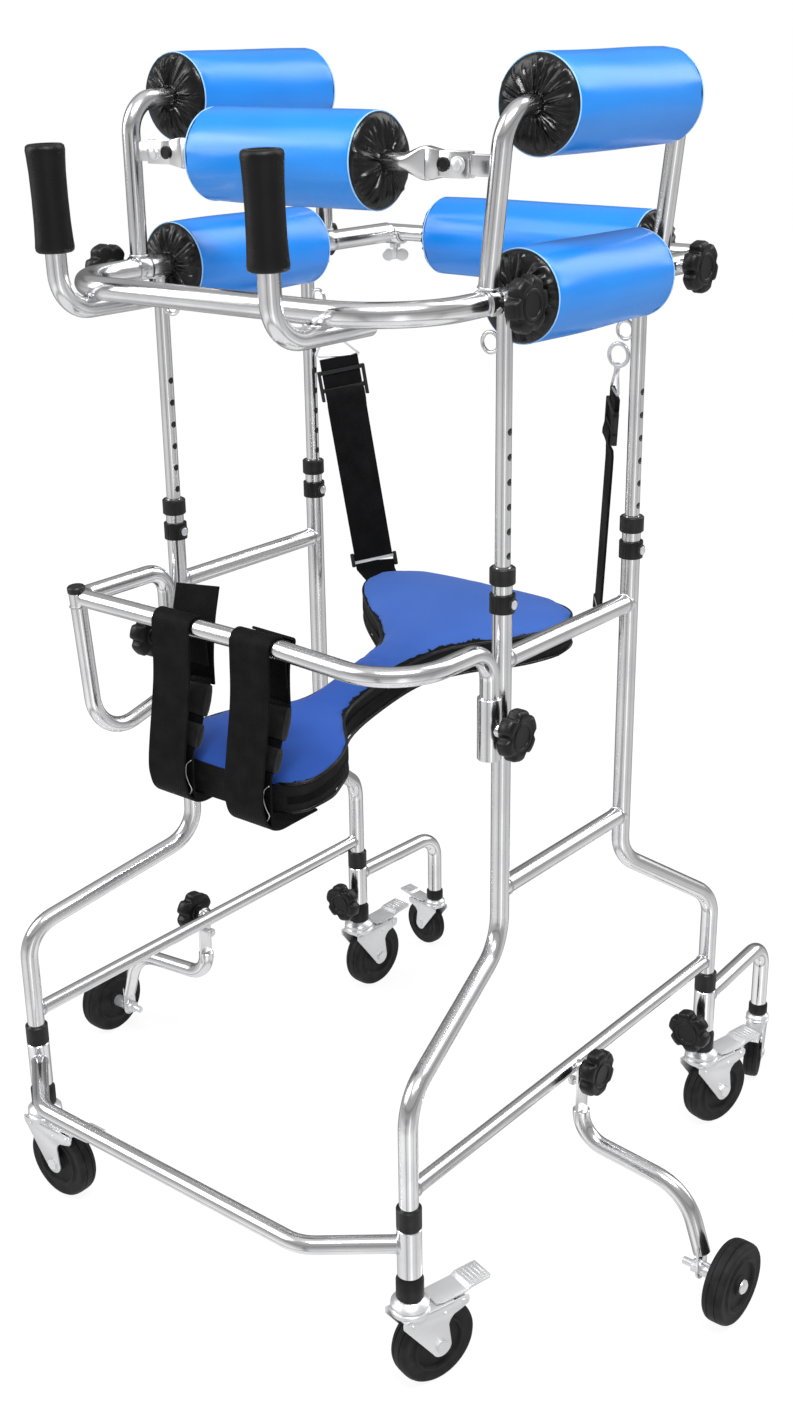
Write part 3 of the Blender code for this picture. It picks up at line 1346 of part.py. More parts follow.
# Side arms
def side_arm(side):
    sign = SIDES[side]
    clamp = side_arm_clamp(side)
    inner_x = clamp.strip_inner.x
    outer_x = clamp.strip_outer.x
    middle_x = (inner_x + outer_x) / 2
    y = SIDE_ARM_Y
    half = SIDE_STRIP_HALF_WIDTH
    low_x = min(inner_x, outer_x)
    high_x = max(inner_x, outer_x)
    strip = box((low_x, y - half, SIDE_STRIP_BOTTOM_Z), (high_x, y + half, LEG_RAIL_Z + half))
    path = [
        (middle_x, y, SIDE_STRIP_BOTTOM_Z + SIDE_STRIP_OVERLAP),
        (middle_x, y, SIDE_TUBE_LOW_Z),
        (sign * SIDE_TUBE_HIGH_X, y, SIDE_TUBE_HIGH_Z),
        (sign * SIDE_PLATE_X, y, SIDE_PLATE_TOP_Z - SIDE_PLATE_OVERLAP),
    ]
    plate_half = SIDE_PLATE_THICKNESS / 2
    plate = box(
        (sign * SIDE_PLATE_X - plate_half, y - half, SIDE_PLATE_BOTTOM_Z),
        (sign * SIDE_PLATE_X + plate_half, y + half, SIDE_PLATE_TOP_Z),
    )
    outer_face = sign * (SIDE_WHEEL_X + WHEEL_HALF_WIDTH + GAP)
    inner_face = sign * (SIDE_WHEEL_X - WHEEL_HALF_WIDTH - GAP)

    def across(start_x, end_x, radius, z=AXLE_Z, sides=SMALL_SIDES):
        return rod((start_x, y, z), (end_x, y, z), radius, sides)

    plate_x = sign * SIDE_PLATE_X
    pin_inner = inner_x - sign * STOP_PIN_LENGTH
    nut_low, nut_high = [pin_inner + sign * reach for reach in STOP_NUT]
    solids = [
        strip,
        tube(path, SIDE_TUBE_RADIUS, list(SIDE_BENDS), SMALL_SIDES),
        plate,
        across(sign * SIDE_AXLE_INNER_X, outer_face, AXLE_RADIUS),
        across(outer_face, outer_face + sign * SIDE_BOLT_HEAD, SIDE_BOLT_RADIUS),
        across(plate_x, inner_face, SIDE_BOLT_RADIUS),
        across(plate_x, plate_x - sign * SIDE_NUT_HEIGHT, SIDE_BOLT_RADIUS, sides=HEX_SIDES),
        across(outer_x + sign * STOP_PIN_HEAD, pin_inner, STOP_PIN_RADIUS, STOP_PIN_Z),
        across(nut_low, nut_high, STOP_NUT_RADIUS, STOP_PIN_Z, HEX_SIDES),
    ]
    mesh = combined(solids, [clamp.stud_hole()])
    add_part("side_arm_" + side, mesh, STEEL, tuple(clamp.centre))
    centre = (sign * SIDE_WHEEL_X, y, AXLE_Z)
    add_part("side_wheel_" + side, WHEEL.copy(), TYRE, centre, local=True)


# The whole rollator
for which in SIDES:
    side_frame(which)
    rear_arm(which)
    side_arm(which)
    front_strap(which)
    rear_strap(which)
front_stretcher()
upper_frame()
hand_grip("left", LEFT_GRIP)
hand_grip("right", RIGHT_GRIP)
forearm_roll("left")
forearm_roll("right")
armpit_frame("left", ARMPIT_TILT_LEFT, LEFT_ARMPIT_ROLL_Y)
armpit_frame("right", 0, RIGHT_ARMPIT_ROLL_Y)
chest_bar()
back_bar()
front_bar()
seat()
for which, direction in SIDES.items():
    height_catch("height_catch_front_" + which, direction * POST_X, -POST_Y)
    height_catch("height_catch_rear_" + which, direction * POST_X, POST_Y)
    caster("front_" + which, direction * LEG_X, FRONT_LEG_Y)
    caster("rear_" + which, direction * LEG_X, REAR_LEG_Y)
    caster("arm_" + which, direction * ARM_CASTER_X, ARM_CASTER_Y, SMALL_CASTER_RATIO)
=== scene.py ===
# %% [markdown]
# # Dressing a forearm rollator
# A forearm rollator is a tall walking frame that carries its user at the forearms and armpits.
# The imported model gives every piece its true size and place. This lesson puts the real finish on
# it: polished tube, padded rolls with gathered ends, webbing, foam grips and braked casters.
# The first cell loads the imported model, which stays as it is.

# %% Load the imported model
import json
from math import cos, degrees, pi, radians, sin, tan
from random import Random

import bmesh
import bpy
from mathutils import Matrix, Vector
from mathutils.bvhtree import BVHTree


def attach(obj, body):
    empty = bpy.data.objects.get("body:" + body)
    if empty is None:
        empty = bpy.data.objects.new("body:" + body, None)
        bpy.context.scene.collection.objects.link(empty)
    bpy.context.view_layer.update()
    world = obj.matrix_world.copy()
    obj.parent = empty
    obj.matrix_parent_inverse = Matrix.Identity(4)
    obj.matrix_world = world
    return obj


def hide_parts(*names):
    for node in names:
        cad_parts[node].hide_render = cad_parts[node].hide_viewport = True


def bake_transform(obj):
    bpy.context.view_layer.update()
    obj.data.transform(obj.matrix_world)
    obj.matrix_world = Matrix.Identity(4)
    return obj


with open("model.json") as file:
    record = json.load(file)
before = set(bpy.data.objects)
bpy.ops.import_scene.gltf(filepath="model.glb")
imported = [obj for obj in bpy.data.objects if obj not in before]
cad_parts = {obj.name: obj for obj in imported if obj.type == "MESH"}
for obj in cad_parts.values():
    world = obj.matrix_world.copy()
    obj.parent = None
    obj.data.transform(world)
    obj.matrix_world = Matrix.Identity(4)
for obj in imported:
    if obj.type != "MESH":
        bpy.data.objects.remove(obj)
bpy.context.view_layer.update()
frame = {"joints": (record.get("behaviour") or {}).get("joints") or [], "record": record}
joints = {joint["name"]: joint for joint in frame["joints"]}
bodies = frame["record"]["behaviour"]["bodies"]
print("bodies:", len(bodies), "joints:", len(joints))

# %% [markdown]
# ## One place to measure from
# The drawing of the frame puts its middle between the posts and its wheels a little below zero. The
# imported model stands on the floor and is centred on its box. Both differ only by a shift, which two
# joints give, so each later cell can use the plain numbers of the drawing.

# %% Find the shift between drawing and model
FRONT_LEG_Y = -0.324
AXLE_Z = 0.039
SHIFT = Vector((
    0,
    joints["caster_front_left_swivel"]["pos_m"][1] - FRONT_LEG_Y,
    joints["side_wheel_left_spin"]["pos_m"][2] - AXLE_Z,
))
SIDES = {"left": 1, "right": -1}
print("shift:", [round(value, 5) for value in SHIFT])

# %% [markdown]
# ## The camera
# The photo was taken from the front left of the frame, a little above the armpit rolls. Its place,
# turn and lens were solved from points that the photo and the drawing share. A tall picture is
# fitted by its height, so the lens is worked out from the height of the frame.

# %% Set up the camera
PHOTO_SIZE = (793, 1425)
FOCAL_PIXELS = 1752.62
OPTICAL_CENTRE = (391.69, 720.24)
EYE = Vector((1.12067, -1.38030, 1.23219))
YAW, PITCH, ROLL = radians(39.367), radians(-21.568), radians(-0.911)

forward = Vector((-sin(YAW) * cos(PITCH), cos(YAW) * cos(PITCH), sin(PITCH)))
level_right = Vector((cos(YAW), sin(YAW), 0))
level_up = level_right.cross(forward)
right = level_right * cos(ROLL) + level_up * sin(ROLL)
up = level_up * cos(ROLL) - level_right * sin(ROLL)

camera = bpy.data.objects.new("camera", bpy.data.cameras.new("camera"))
bpy.context.scene.collection.objects.link(camera)
camera.matrix_world = Matrix.Translation(EYE + SHIFT) @ Matrix((right, up, -forward)).transposed().to_4x4()
camera.data.sensor_fit = "VERTICAL"
camera.data.sensor_height = 36
camera.data.lens = FOCAL_PIXELS / PHOTO_SIZE[1] * camera.data.sensor_height
camera.data.shift_x = (PHOTO_SIZE[0] / 2 - OPTICAL_CENTRE[0]) / PHOTO_SIZE[1]
camera.data.shift_y = (OPTICAL_CENTRE[1] - PHOTO_SIZE[1] / 2) / PHOTO_SIZE[1]
bpy.context.scene.camera = camera
print("lens in mm:", round(camera.data.lens, 2))

# %% [markdown]
# ## Arithmetic for shaders
# A finish is easiest to read as a formula. This small class wraps a socket, so that an expression
# such as `1 - mask * 0.3` adds the Math nodes that it needs. Every other node comes from one method,
# which sets the node's settings first and then its sockets.


# %% Write shader maths as expressions
class Value:
    """One output socket that takes part in arithmetic."""

    def __init__(self, graph, socket):
        self.graph = graph
        self.socket = socket

    def math(self, operation, first, second=None):
        inputs = {0: first} if second is None else {0: first, 1: second}
        return self.graph.node("ShaderNodeMath", {"operation": operation}, inputs)

    def sine(self):
        return self.math("SINE", self)

    def size(self):
        return self.math("ABSOLUTE", self)

    def ramp(self, low, high):
        """0 below low, 1 above high, and smooth between them."""
        inputs = {"Value": self, "From Min": low, "From Max": high}
        return self.graph.node("ShaderNodeMapRange", {"interpolation_type": "SMOOTHSTEP"}, inputs)


def operator(operation, swapped):
    """The method behind an arithmetic sign, also for a number that stands first."""
    if swapped:
        return lambda value, other: value.math(operation, other, value)
    return lambda value, other: value.math(operation, value, other)


for sign, operation in (("add", "ADD"), ("sub", "SUBTRACT"), ("mul", "MULTIPLY")):
    setattr(Value, "__" + sign + "__", operator(operation, False))
    setattr(Value, "__r" + sign + "__", operator(operation, True))


class Graph:
    """A node tree that grows by one method."""

    def __init__(self, tree):
        self.tree = tree
        self.tree.nodes.clear()

    def node(self, kind, settings=None, inputs=None, output=0):
        node = self.tree.nodes.new(kind)
        for name, setting in (settings or {}).items():
            setattr(node, name, setting)
        for name, value in (inputs or {}).items():
            if isinstance(value, Value):
                self.tree.links.new(value.socket, node.inputs[name])
            else:
                node.inputs[name].default_value = value
        return Value(self, node.outputs[output]) if node.outputs else node

    def mixed(self, factor, first, second):
        """From one colour to another as the factor goes from 0 to 1."""
        return self.node("ShaderNodeMix", {"data_type": "RGBA"}, {0: factor, 6: first, 7: second}, 2)

    def parts(self, vector):
        """The three numbers of a vector."""
        split = self.tree.nodes.new("ShaderNodeSeparateXYZ")
        self.tree.links.new(vector.socket, split.inputs[0])
        return [Value(self, output) for output in split.outputs]


print("shader helper ready")

# %% [markdown]
# ## The studio
# Polished tube shows the room more than itself. In the photo the room is mid grey, paler towards
# the floor and darker above it. Narrow dark cards draw the black streaks along each tube, bright
# strips draw the white ones, and two softboxes give the vinyl rolls their highlights. All of them
# are painted into the world as directions, so they cost no lights. The camera itself sees plain
# white, and matt surfaces get an even light, so that the room shows only in what shines.

# %% Paint the room that the tubes reflect
world = bpy.data.worlds.new("studio")
world.use_nodes = True
bpy.context.scene.world = world
room = Graph(world.node_tree)
view = room.node("ShaderNodeTexCoord")
toward_camera = Vector((sin(YAW), -cos(YAW), 0))


def facing_part(axis):
    """How far a direction points along an axis, from -1 to 1."""
    return room.node("ShaderNodeVectorMath", {"operation": "DOT_PRODUCT"}, {0: view, 1: axis}, 1)


def card(turn, lift, half_width, half_height, soft):
    """A mask for a card, in degrees: turned from the camera towards the rear, then lifted."""
    facing = Matrix.Rotation(radians(turn), 3, "Z") @ toward_camera
    facing = (facing * cos(radians(lift)) + Vector((0, 0, sin(radians(lift))))).normalized()
    across = Vector((0, 0, 1)).cross(facing).normalized()
    upward = facing.cross(across)
    mask = 1
    for axis, half in ((across, half_width), (upward, half_height)):
        low, high = radians(max(half - soft, 0)), radians(min(half + soft, 90))
        inside = 1 - facing_part(axis).size().ramp(sin(low), sin(high))
        mask = inside * mask
    return mask * facing_part(facing).ramp(-0.02, 0.02)


height = room.parts(view)[2]


def level_line(middle, half):
    """A mask for a level line round the room, at a height from -1 to 1."""
    return 1 - (height - middle).size().ramp(half * 0.3, half)


strips = card(16, -21, 7, 24, 4) * 0.62 + card(-66, -21, 20, 24, 12) * 0.16
shine = 0.60 + 0.28 * (1 - height.ramp(-0.54, -0.40)) - 0.22 * height.ramp(-0.22, -0.08) + strips
dark_cards = (
    level_line(0.30, 0.10) * 0.45,
    level_line(-0.71, 0.07) * 0.60,
    card(-24, -21, 4, 24, 3) * 0.62,
    card(62, -21, 5, 24, 4) * 0.30,
    card(180, -12, 46, 30, 12) * 0.60,
)
for dark in dark_cards:
    shine = shine * (1 - dark)
softboxes = card(-88, 40, 15, 14, 7) + card(119, 38, 12, 24, 6)
shine = shine + softboxes * 2.9 + 0.3 * height.ramp(0.80, 0.95)
rays = room.tree.nodes.new("ShaderNodeLightPath")
seen = Value(room, rays.outputs["Is Camera Ray"])
mirrored = Value(room, rays.outputs["Is Glossy Ray"])
soft_light = 0.50 + 0.28 * height.ramp(-0.3, 0.9)
strength = seen + (1 - seen) * (mirrored * shine + (1 - mirrored) * soft_light)
backdrop = room.node("ShaderNodeBackground", {}, {"Color": (1, 1, 1, 1), "Strength": strength})
room.node("ShaderNodeOutputWorld", {}, {"Surface": backdrop})
bpy.context.scene.view_settings.view_transform = "Standard"
print("cards in the room:", len(dark_cards))

# %% [markdown]
# ## Lamps and floor
# One long softbox above the front left gives the rolls their pale band, and a second one fills the
# right side. The floor is plain and pale, and it shines by itself a little, so that it ends in
# white as the photo's background does.


# %% Place the lamps and the floor
def softbox(name, place, target, size, watts):
    """A rectangular lamp that looks at a target."""
    lamp = bpy.data.lights.new(name, "AREA")
    lamp.shape = "RECTANGLE"
    lamp.size, lamp.size_y = size
    lamp.energy = watts
    item = bpy.data.objects.new(name, lamp)
    bpy.context.scene.collection.objects.link(item)
    away = Vector(place) - Vector(target)
    item.matrix_world = Matrix.Translation(place) @ away.to_track_quat("Z", "Y").to_matrix().to_4x4()


softbox("key_softbox", (1.1, -0.95, 3.1), (0, 0, 1.0), (1.7, 0.35), 66)
softbox("fill_softbox", (-2.2, -1.6, 1.9), (0, 0, 0.7), (1.0, 1.6), 20)

FLOOR_HALF = 9
floor_mesh = bpy.data.meshes.new("floor")
floor_corners = [(FLOOR_HALF * u, FLOOR_HALF * v, 0) for u, v in ((-1, -1), (1, -1), (1, 1), (-1, 1))]
floor_mesh.from_pydata(floor_corners, [], [(0, 1, 2, 3)])
floor = bpy.data.objects.new("floor", floor_mesh)
bpy.context.scene.collection.objects.link(floor)
floor.visible_glossy = False
pale = bpy.data.materials.new("pale_floor")
pale.use_nodes = True
ground = Graph(pale.node_tree)
matt = ground.node("ShaderNodeBsdfDiffuse", {}, {"Color": (0.9, 0.9, 0.9, 1)})
glow = ground.node("ShaderNodeEmission", {}, {"Color": (1, 1, 1, 1), "Strength": 1.06})
surface = ground.node("ShaderNodeMixShader", {}, {0: 0.86, 1: matt, 2: glow})
ground.node("ShaderNodeOutputMaterial", {}, {"Surface": surface})
floor_mesh.materials.append(pale)

# %% [markdown]
# ## A finish and its surface
# Each finish below starts from this class: a Principled shader whose even values are set on its own
# sockets, and the object's own coordinates in metres. What changes over the surface, such as grain
# or weave, feeds only colour, roughness and a Bump node.


# %% Start a finish
class Finish(Graph):
    def __init__(self, name, **even):
        self.material = bpy.data.materials.new(name)
        self.material.use_nodes = True
        super().__init__(self.material.node_tree)
        self.shader = self.tree.nodes.new("ShaderNodeBsdfPrincipled")
        output = self.tree.nodes.new("ShaderNodeOutputMaterial")
        self.tree.links.new(self.shader.outputs[0], output.inputs["Surface"])
        coordinates = self.tree.nodes.new("ShaderNodeTexCoord")
        self.place = Value(self, coordinates.outputs["Object"])
        for socket, value in even.items():
            self.shader.inputs[socket.replace("_", " ")].default_value = value

    def feed(self, **links):
        for socket, value in links.items():
            self.tree.links.new(value.socket, self.shader.inputs[socket.replace("_", " ")])
        return self.material

    def noise(self, scale, detail=2.0, stretch=(1, 1, 1)):
        place = self.node("ShaderNodeMapping", {}, {"Vector": self.place, "Scale": stretch})
        return self.node("ShaderNodeTexNoise", {}, {"Vector": place, "Scale": scale, "Detail": detail})

    def cells(self, scale):
        return self.node("ShaderNodeTexVoronoi", {}, {"Vector": self.place, "Scale": scale})

    def bump(self, height, strength, distance):
        inputs = {"Height": height, "Strength": strength, "Distance": distance}
        return self.node("ShaderNodeBump", {}, inputs)


print("finish helper ready")

# %% [markdown]
# ## Metal finishes
# The tubes are polished steel: nearly a mirror, with a slight haze that changes along the tube. The
# casters are pressed from sheet and zinc plated, which is greyer and has a fine, cloudy grain.

# %% Make the metals
steel = Finish("polished_steel_look", Metallic=1.0)
haze = steel.noise(22, 3)
fine = steel.noise(900, 1)
tube_steel = steel.feed(
    Base_Color=steel.mixed(haze.ramp(0.35, 0.7), (0.88, 0.88, 0.89, 1), (0.80, 0.80, 0.815, 1)),
    Roughness=0.17 + 0.06 * haze.ramp(0.4, 0.75) + 0.02 * fine,
    Normal=steel.bump(steel.noise(60, 1), 0.03, 0.0003),
)

zinc = Finish("zinc_plate_look", Metallic=0.65)
spangle = zinc.cells(260)
cloud = zinc.noise(45, 3)
pressed_zinc = zinc.feed(
    Base_Color=zinc.mixed(cloud, (0.84, 0.84, 0.85, 1), (0.72, 0.725, 0.74, 1)),
    Roughness=0.24 + 0.12 * cloud + 0.05 * spangle,
    Normal=zinc.bump(zinc.noise(700, 2), 0.10, 0.0001),
)

weld = Finish("weld_look", Metallic=1.0)
ripple = weld.noise(240, 3)
weld_metal = weld.feed(
    Base_Color=weld.mixed(ripple, (0.80, 0.80, 0.81, 1), (0.50, 0.50, 0.52, 1)),
    Roughness=0.22 + 0.2 * ripple,
    Normal=weld.bump(ripple, 0.5, 0.0006),
)
print("metals:", tube_steel.name, pressed_zinc.name, weld_metal.name)

# %% [markdown]
# ## Coated cloth, webbing and foam
# The rolls are covered in bright blue vinyl with a faint leather grain, and their ends are thin
# black nylon, drawn in by a cord. The seat has a blue woven top on black mesh sides. Webbing is
# black with fine ribs across, and the grips are closed-cell foam with tiny pores.

# %% Make the soft finishes
vinyl = Finish("blue_vinyl_look", Coat_Weight=0.08, Coat_Roughness=0.20, Specular_IOR_Level=0.62)
grain = vinyl.cells(1500)
tone = vinyl.noise(9, 3)
blue_vinyl = vinyl.feed(
    Base_Color=vinyl.mixed(tone.ramp(0.3, 0.7), (0.002, 0.212, 0.72, 1), (0.004, 0.238, 0.78, 1)),
    Roughness=0.20 + 0.05 * grain + 0.05 * tone,
    Normal=vinyl.bump(grain + vinyl.noise(70, 2) * 0.6, 0.10, 0.0003),
)

edge = Finish("vinyl_edge_look", Roughness=0.4)
pale_edge = edge.feed(
    Base_Color=edge.mixed(edge.noise(300, 2), (0.20, 0.48, 0.90, 1), (0.42, 0.66, 0.97, 1)),
)

nylon = Finish("gathered_nylon_look", Specular_IOR_Level=0.36)
crumple = nylon.noise(210, 5)
thread = nylon.noise(2600, 1)
black_nylon = nylon.feed(
    Base_Color=nylon.mixed(crumple, (0.002, 0.002, 0.0022, 1), (0.008, 0.008, 0.0085, 1)),
    Roughness=0.14 + 0.18 * crumple,
    Normal=nylon.bump(crumple + thread * 0.06, 0.32, 0.0010),
)

cloth = Finish("seat_cloth_look", Sheen_Weight=0.08, Sheen_Roughness=0.45, Specular_IOR_Level=0.2)
x, y, z = cloth.parts(cloth.place)
weave = (x * 4200).sine() * (y * 4200).sine()
patch = cloth.noise(14, 4)
# Painted shade and light: the seat's blue is darker towards the front and paler towards the rear.
painted_shade_front_to_rear = (y * 2.6 + 0.55 + (patch - 0.5) * 0.5 + weave * 0.05).ramp(0.0, 1.0)
blue_cloth = cloth.feed(
    Base_Color=cloth.mixed(painted_shade_front_to_rear, (0.023, 0.086, 0.39, 1), (0.066, 0.172, 0.58, 1)),
    Roughness=0.66 + 0.10 * patch,
    Normal=cloth.bump(weave * 0.4 + cloth.noise(28, 3) * 1.5, 0.25, 0.0005),
)

mesh_cloth = Finish("gusset_mesh_look", Specular_IOR_Level=0.18)
x, y, z = mesh_cloth.parts(mesh_cloth.place)
net = ((x + y) * 1700).sine() * ((x - y + z * 2) * 1700).sine()
fold = mesh_cloth.noise(60, 4, (1, 1, 2.2))
worn = (net * 0.5 + fold).ramp(0.2, 1.0)
black_mesh = mesh_cloth.feed(
    Base_Color=mesh_cloth.mixed(worn, (0.003, 0.003, 0.003, 1), (0.017, 0.017, 0.018, 1)),
    Roughness=0.62 + 0.15 * fold,
    Normal=mesh_cloth.bump(net * 0.3 + fold * 2.2, 0.55, 0.0012),
)

band = Finish("webbing_look", Specular_IOR_Level=0.08)
x, y, z = band.parts(band.place)
rib = ((z + y * 0.5) * 3600).sine()
wale = ((x + y * 0.8) * 2100).sine()
lint = (rib * 0.25 + band.noise(60, 3)).ramp(0.2, 0.9)
black_webbing = band.feed(
    Base_Color=band.mixed(lint, (0.002, 0.002, 0.0022, 1), (0.009, 0.009, 0.0095, 1)),
    Roughness=0.56 + 0.08 * wale,
    Normal=band.bump(rib * 0.5 + wale * 0.5, 0.30, 0.0004),
)

foam = Finish("grip_foam_look", Specular_IOR_Level=0.24)
pore = foam.cells(2300)
soft_patch = foam.noise(36, 4)
black_foam = foam.feed(
    Base_Color=foam.mixed(soft_patch, (0.003, 0.003, 0.003, 1), (0.007, 0.007, 0.0072, 1)),
    Roughness=0.22 + 0.12 * soft_patch,
    Normal=foam.bump(pore + soft_patch * 0.5, 0.35, 0.0003),
)
print("soft finishes ready")

# %% [markdown]
# ## Plastic and rubber
# Knobs, collars and buckles are moulded in black plastic with a fine spark-eroded grain, a bit
# paler where hands and edges rub. The wheels are hard rubber in one piece, slightly grey.

# %% Make the moulded finishes
plastic = Finish("black_plastic_look", Specular_IOR_Level=0.30)
spark = plastic.noise(1300, 2)
pointiness = plastic.node("ShaderNodeNewGeometry", {}, {}, 7)
rubbed = pointiness.ramp(0.52, 0.60) * plastic.noise(120, 3)
black_plastic = plastic.feed(
    Base_Color=plastic.mixed(rubbed, (0.004, 0.004, 0.0042, 1), (0.030, 0.030, 0.031, 1)),
    Roughness=0.30 + 0.14 * spark,
    Normal=plastic.bump(spark, 0.22, 0.0002),
)

rubber = Finish("wheel_rubber_look", Specular_IOR_Level=0.22)
scuff = rubber.noise(80, 5)
black_rubber = rubber.feed(
    Base_Color=rubber.mixed(scuff.ramp(0.3, 0.8), (0.008, 0.008, 0.0085, 1), (0.020, 0.020, 0.021, 1)),
    Roughness=0.50 + 0.18 * scuff,
    Normal=rubber.bump(rubber.noise(900, 2), 0.18, 0.0002),
)
print("materials:", len(bpy.data.materials))

# %% [markdown]
# ## Drawing with rows of points
# Nearly all of a walking frame is bent tube, turned parts and pressed sheet, and webbing is a flat
# band. All four are an outline that travels along a line. A shape here is a list of points and a
# list of faces, which can be joined and moved before it becomes a mesh.


# %% Carry an outline along a line
def bent(points, bends, step=7):
    """The middle line of a bent tube: an arc takes the place of each inner corner."""
    points = [Vector(point) for point in points]
    if not isinstance(bends, (list, tuple)):
        bends = [bends] * (len(points) - 2)
    line = [points[0]]
    for before, corner, after, bend in zip(points, points[1:], points[2:], bends):
        back = (before - corner).normalized()
        ahead = (after - corner).normalized()
        turn = pi - back.angle(ahead)
        middle = corner + (back + ahead).normalized() * (bend / cos(turn / 2))
        first = corner + back * bend * tan(turn / 2) - middle
        last = corner + ahead * bend * tan(turn / 2) - middle
        count = max(2, round(degrees(turn) / step))
        for part in range(count + 1):
            line.append(middle + Matrix.Rotation(turn * part / count, 3, first.cross(last)) @ first)
    return line + [points[-1]]


def lofted(rows, ring=False):
    """Join rows of points into one skin, closed by a face on each end or round to the start."""
    width = len(rows[0])
    faces = []
    for number in range(len(rows) if ring else len(rows) - 1):
        near = number * width
        far = (number + 1) % len(rows) * width
        for column in range(width):
            beside = (column + 1) % width
            faces.append((near + column, near + beside, far + beside, far + column))
    if not ring:
        faces.append(tuple(reversed(range(width))))
        faces.append(tuple(range((len(rows) - 1) * width, len(rows) * width)))
    return [point for row in rows for point in row], faces


def swept(line, outline, across=None, sizes=None, ring=False):
    """Carry an outline along a line without twist; across fixes the outline's first axis."""
    rows = []
    side = Vector(across) if across else None
    for number, point in enumerate(line):
        before = line[number - 1] if number or ring else point
        after = line[(number + 1) % len(line)] if ring or number + 1 < len(line) else point
        ahead = (after - before).normalized()
        side = side or ahead.orthogonal()
        flat_side = (side - ahead * side.dot(ahead)).normalized()
        over = ahead.cross(flat_side)
        size = sizes[number] if sizes else 1
        rows.append([point + flat_side * (u * size) + over * (v * size) for u, v in outline])
        side = side if across else flat_side
    return lofted(rows, ring)


def circle(radius, sides=28):
    angles = [2 * pi * step / sides for step in range(sides)]
    return [(radius * cos(angle), radius * sin(angle)) for angle in angles]


def pipe(line, radius, sides=28, lip=0.0006):
    """A round tube along a line, with its two ends slightly rounded."""
    line = [Vector(point) for point in line]
    first = (line[1] - line[0]).normalized() * lip
    last = (line[-2] - line[-1]).normalized() * lip
    line = [line[0], line[0] + first, *line[1:-1], line[-1] + last, line[-1]]
    sizes = [1 - lip / radius, *[1] * (len(line) - 2), 1 - lip / radius]
    return swept(line, circle(radius, sides), sizes=sizes)


def turned(profile, sides=48):
    """A part turned about Z, from (radius, height) points."""
    rows = [[Vector((u, v, height)) for u, v in circle(radius, sides)] for radius, height in profile]
    return lofted(rows)


def peg(radius, low, high, sides):
    """A plain pin or disc along Z; six sides make a nut."""
    return turned([(0, low), (radius, low), (radius, high), (0, high)], sides)


def cuff(inner, outer, low, high, lip):
    """A short tube along Z with eased outer rims."""
    rise = [(inner, low), (outer - lip, low), (outer, low + lip)]
    return turned(rise + [(outer, high - lip), (outer - lip, high), (inner, high)])


def hoop(radius, wire, sides, wire_sides):
    """A ring of round wire about Z."""
    line = [Vector((u, v, 0)) for u, v in circle(radius, sides)]
    return swept(line, circle(wire, wire_sides), ring=True)


print("a quarter bend has", len(bent([(0, 0, 0), (0, 0, 1), (0, 1, 1)], 0.1)), "points")

# %% [markdown]
# ## Plates, blocks and holes
# Pressed plates and ears are an outline with a thickness. No real edge is perfectly sharp, so every
# one gets a small bevel, which is what catches the light. Holes are cut with Blender's Boolean
# modifier, and the result is taken back as points and faces.


# %% Make plates, bevels and holes
SHARP_EDGE = 35


def merged(*shapes):
    points = []
    faces = []
    for shape_points, shape_faces in shapes:
        faces += [tuple(index + len(points) for index in face) for face in shape_faces]
        points += shape_points
    return points, faces


def moved(shape, matrix):
    return [matrix @ Vector(point) for point in shape[0]], shape[1]


def placed(shape, place, axis=(0, 0, 1), turn=0):
    """Stand a shape that is drawn along Z at a place, pointing along the axis."""
    facing = Vector((0, 0, 1)).rotation_difference(Vector(axis)).to_matrix().to_4x4()
    return moved(shape, Matrix.Translation(place) @ facing @ Matrix.Rotation(radians(turn), 4, "Z"))


def shifted(shape, x=0, y=0, z=0):
    return moved(shape, Matrix.Translation((x, y, z)))


def standing(shape):
    """Turn a shape so that its Y points up."""
    return moved(shape, Matrix.Rotation(radians(90), 4, "X"))


def to_bmesh(shape):
    mesh = bmesh.new()
    vertices = [mesh.verts.new(point) for point in shape[0]]
    for face in shape[1]:
        mesh.faces.new([vertices[index] for index in face])
    bmesh.ops.remove_doubles(mesh, verts=mesh.verts, dist=1e-6)
    bmesh.ops.recalc_face_normals(mesh, faces=mesh.faces)
    return mesh


def to_shape(mesh):
    mesh.verts.index_update()
    points = [vertex.co.copy() for vertex in mesh.verts]
    faces = [tuple(vertex.index for vertex in face.verts) for face in mesh.faces]
    mesh.free()
    return points, faces


def softened(shape, width):
    """Bevel each sharp edge."""
    mesh = to_bmesh(shape)
    edges = [edge for edge in mesh.edges if edge.calc_face_angle(0) > radians(SHARP_EDGE)]
    bmesh.ops.bevel(mesh, geom=edges, offset=width, segments=2, affect="EDGES", profile=0.5)
    return to_shape(mesh)


def slab(outline, low, high, bevel=0.0006):
    """A plate with an outline in XY, from one height to another."""
    rows = [[Vector((x, y, height)) for x, y in outline] for height in (low, high)]
    return softened(lofted(rows), bevel)


def block(low, high, bevel=0.0006):
    outline = [(low[0], low[1]), (high[0], low[1]), (high[0], high[1]), (low[0], high[1])]
    return slab(outline, low[2], high[2], bevel)


def arc(radius, start, end, steps, centre=(0, 0)):
    """Points on an arc, from one angle in degrees to another."""
    angles = [radians(start + (end - start) * step / steps) for step in range(steps + 1)]
    return [(centre[0] + radius * cos(angle), centre[1] + radius * sin(angle)) for angle in angles]


def clasp(outer, inner, start, end, steps, half, bevel=0.0007):
    """An open ring of sheet about Z, between two angles."""
    return slab(arc(outer, start, end, steps) + arc(inner, start, end, steps)[::-1], -half, half, bevel)


